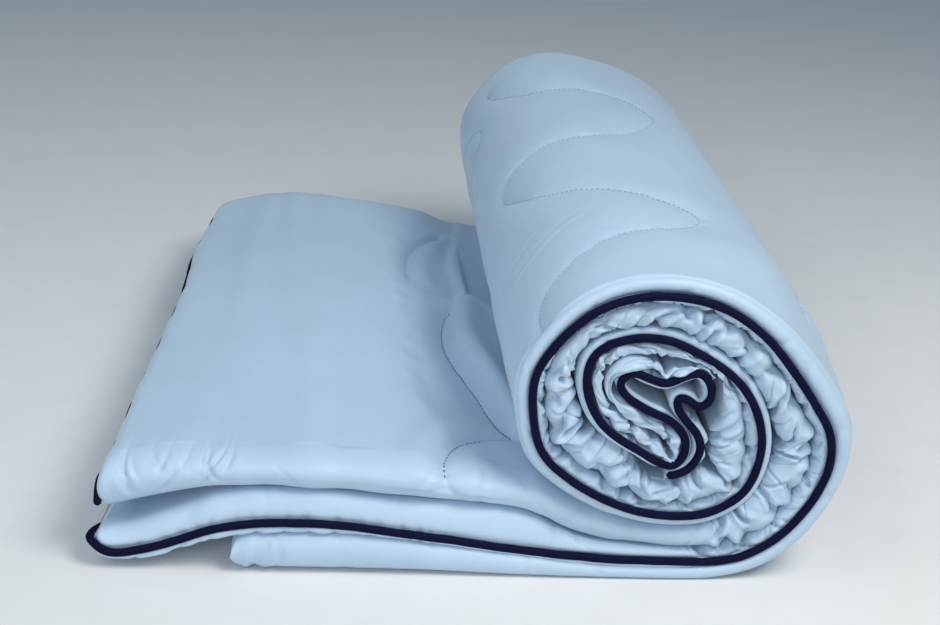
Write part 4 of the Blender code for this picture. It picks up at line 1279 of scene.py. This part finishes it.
class BLANKET_OT_stitching(bpy.types.Operator):
    """Lay the quilting stitches in the lines on the roll and on the tail"""

    bl_idname = "blanket.stitching"
    bl_label = "Quilting Stitches"

    def execute(self, context):
        sizes, colours = blanket_sizes(), blanket_colours()
        made = {}
        # The thread colours carry painted shade of the quilting lines: darker on the tail, and the cloth's shaded tone
        # on the roll.
        for part, leaf, lines, rays, thickness, colour in (
            ("roll", "bottom_leaf", roll_seams(), rays_to_roll, sizes.thread_diameter, colours.roll_thread),
            ("tail", "top_leaf", tail_seams(), rays_to_tail, sizes.tail_thread_diameter, colours.thread),
        ):
            mesh = bpy.data.objects[leaf].data
            cloth = BVHTree.FromPolygons([v.co for v in mesh.vertices], [p.vertices[:] for p in mesh.polygons])
            paths = [laid_on(cloth, *rays(line)) for line in lines]
            thread = cloth_material(part + "_thread", colour, 0.0, roughness=0.6, sheen=0.1, pitch=0.0003)
            name = part + "_stitches"
            made[part] = add_piece(name, stitch_mesh(name, paths, sizes, thickness), thread)
        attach(made["roll"], "roll")
        bend_at(made["tail"])
        return {"FINISHED"}


HIDDEN_FINISHES = {
    "heating_film": ((0.020, 0.020, 0.022), (0.035, 0.034, 0.034), 0.42, 0.0),
    "reflector_foil": ((0.76, 0.77, 0.78), (0.66, 0.67, 0.69), 0.24, 1.0),
    "bus_bar": ((0.72, 0.36, 0.21), (0.52, 0.27, 0.17), 0.30, 1.0),
    "inlet_contact": ((0.70, 0.62, 0.42), (0.58, 0.52, 0.38), 0.26, 1.0),
    "inlet_housing": ((0.028, 0.028, 0.031), (0.050, 0.050, 0.054), 0.48, 0.0),
    "lead": ((0.52, 0.52, 0.50), (0.44, 0.44, 0.43), 0.52, 0.0),
    "temperature_sensor": ((0.035, 0.035, 0.038), (0.060, 0.060, 0.062), 0.38, 0.0),
    "thermal_cutout": ((0.030, 0.030, 0.033), (0.055, 0.055, 0.058), 0.44, 0.0),
}


class BLANKET_OT_heater_finishes(bpy.types.Operator):
    """Give the heater layers, their wiring and the controller inlet their finishes"""

    bl_idname = "blanket.heater_finishes"
    bl_label = "Heater Finishes"

    def execute(self, context):
        for start, (colour, worn, roughness, metallic) in HIDDEN_FINISHES.items():
            made = grain_material(start + "_finish", colour, worn, roughness, metallic)
            for node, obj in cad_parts.items():
                if node.startswith(start):
                    obj.data.materials.clear()
                    obj.data.materials.append(made)
        return {"FINISHED"}


FLOOR_HALF = 6.0
LIGHTS = {  # place, target, size, power and colour of each soft light
    "key_light": ((0.95, -0.95, 1.80), (0.0, 0.0, 0.10), 1.0, 30, (1.0, 0.965, 0.915)),
    "fill_light": ((-1.3, -0.6, 1.9), (-0.1, 0.0, 0.10), 1.6, 13, (0.90, 0.95, 1.0)),
    "front_light": ((-0.65, -2.2, 0.95), (0.1, -0.3, 0.12), 1.3, 15, (0.96, 0.98, 1.0)),
}
SKY_COLOUR, SKY_STRENGTH = (0.52, 0.76, 1.0, 1.0), 0.24
CAMERA_PLACE = Vector((-0.12126, -1.64081, 0.7635))
CAMERA_DOWN, CAMERA_RIGHT, CAMERA_ROLL = (math.radians(turn) for turn in (22.369, 5.179, 3.613))
CAMERA_LENS, CAMERA_SENSOR = 65.1, 36.0


def lay_floor(collection):
    """A large pale floor under the blanket."""
    colour = tuple(blanket_colours().floor)
    corners = [(x * FLOOR_HALF, y * FLOOR_HALF, 0) for x, y in ((-1, -1), (1, -1), (1, 1), (-1, 1))]
    mesh = bpy.data.meshes.new("floor")
    mesh.from_pydata(corners, [], [(0, 1, 2, 3)])
    mesh.materials.append(grain_material("pale_floor", colour, tuple(c * 0.97 for c in colour), 0.7, grain=60.0))
    floor = bpy.data.objects.new("floor", mesh)
    collection.objects.link(floor)
    floor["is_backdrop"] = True


def hang_light(collection, name, place, target, size, power, colour):
    light = bpy.data.lights.new(name, "AREA")
    light.energy, light.size, light.color = power, size, colour
    lamp = bpy.data.objects.new(name, light)
    lamp.location = place
    lamp.rotation_euler = (Vector(target) - Vector(place)).to_track_quat("-Z", "Y").to_euler()
    collection.objects.link(lamp)


def set_camera(scene):
    """A camera that looks down on the blanket's piped side, turned a little to the right and tilted."""
    down, right, roll = CAMERA_DOWN, CAMERA_RIGHT, CAMERA_ROLL
    ahead = Vector((math.sin(right) * math.cos(down), math.cos(right) * math.cos(down), -math.sin(down)))
    level = Vector((math.cos(right), -math.sin(right), 0.0))
    upright = level.cross(ahead)
    side = level * math.cos(roll) + upright * math.sin(roll)
    up = upright * math.cos(roll) - level * math.sin(roll)
    data = bpy.data.cameras.new("camera")
    data.lens, data.sensor_width = CAMERA_LENS, CAMERA_SENSOR
    camera = bpy.data.objects.new("camera", data)
    camera.matrix_world = Matrix.Translation(CAMERA_PLACE) @ Matrix((side, up, -ahead)).transposed().to_4x4()
    scene.collection.objects.link(camera)
    scene.camera = camera


class BLANKET_OT_stage(bpy.types.Operator):
    """Set the floor, the soft lights and the camera"""

    bl_idname = "blanket.stage"
    bl_label = "Stage"

    def execute(self, context):
        scene = bpy.context.scene
        lay_floor(scene.collection)
        for name, values in LIGHTS.items():
            hang_light(scene.collection, name, *values)
        scene.world = bpy.data.worlds.new("studio")
        scene.world.use_nodes = True
        background = scene.world.node_tree.nodes["Background"]
        background.inputs["Color"].default_value = SKY_COLOUR
        background.inputs["Strength"].default_value = SKY_STRENGTH
        set_camera(scene)
        scene.view_settings.view_transform = "Standard"
        return {"FINISHED"}


STEPS = (
    BLANKET_OT_bottom_leaf, BLANKET_OT_middle_leaf, BLANKET_OT_top_leaf, BLANKET_OT_piping, BLANKET_OT_stitching,
    BLANKET_OT_heater_finishes, BLANKET_OT_stage,
)


class BLANKET_PT_panel(bpy.types.Panel):
    """Sizes, colours and building steps of the sauna blanket"""

    bl_idname = "BLANKET_PT_panel"
    bl_label = "Sauna Blanket"
    bl_space_type = "VIEW_3D"
    bl_region_type = "UI"
    bl_category = "Blanket"

    def draw(self, context):
        for group in (context.scene.blanket_sizes, context.scene.blanket_colours):
            for name in group.__annotations__:
                self.layout.prop(group, name)
        for step in STEPS:
            self.layout.operator(step.bl_idname)


CLASSES = (BlanketSizes, BlanketColours, *STEPS, BLANKET_PT_panel)


def register():
    for cls in CLASSES:
        bpy.utils.register_class(cls)
    bpy.types.Scene.blanket_sizes = PointerProperty(type=BlanketSizes)
    bpy.types.Scene.blanket_colours = PointerProperty(type=BlanketColours)


def unregister():
    del bpy.types.Scene.blanket_colours
    del bpy.types.Scene.blanket_sizes
    for cls in reversed(CLASSES):
        bpy.utils.unregister_class(cls)


def main():
    register()
    for step in STEPS:
        group, name = step.bl_idname.split(".")
        getattr(getattr(bpy.ops, group), name)()
    boxes = {"cad": CAD_BOX, "visual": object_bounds()}
    {key: [list(corner) for corner in box] for key, box in boxes.items()}


if __name__ == "__main__":
    main()
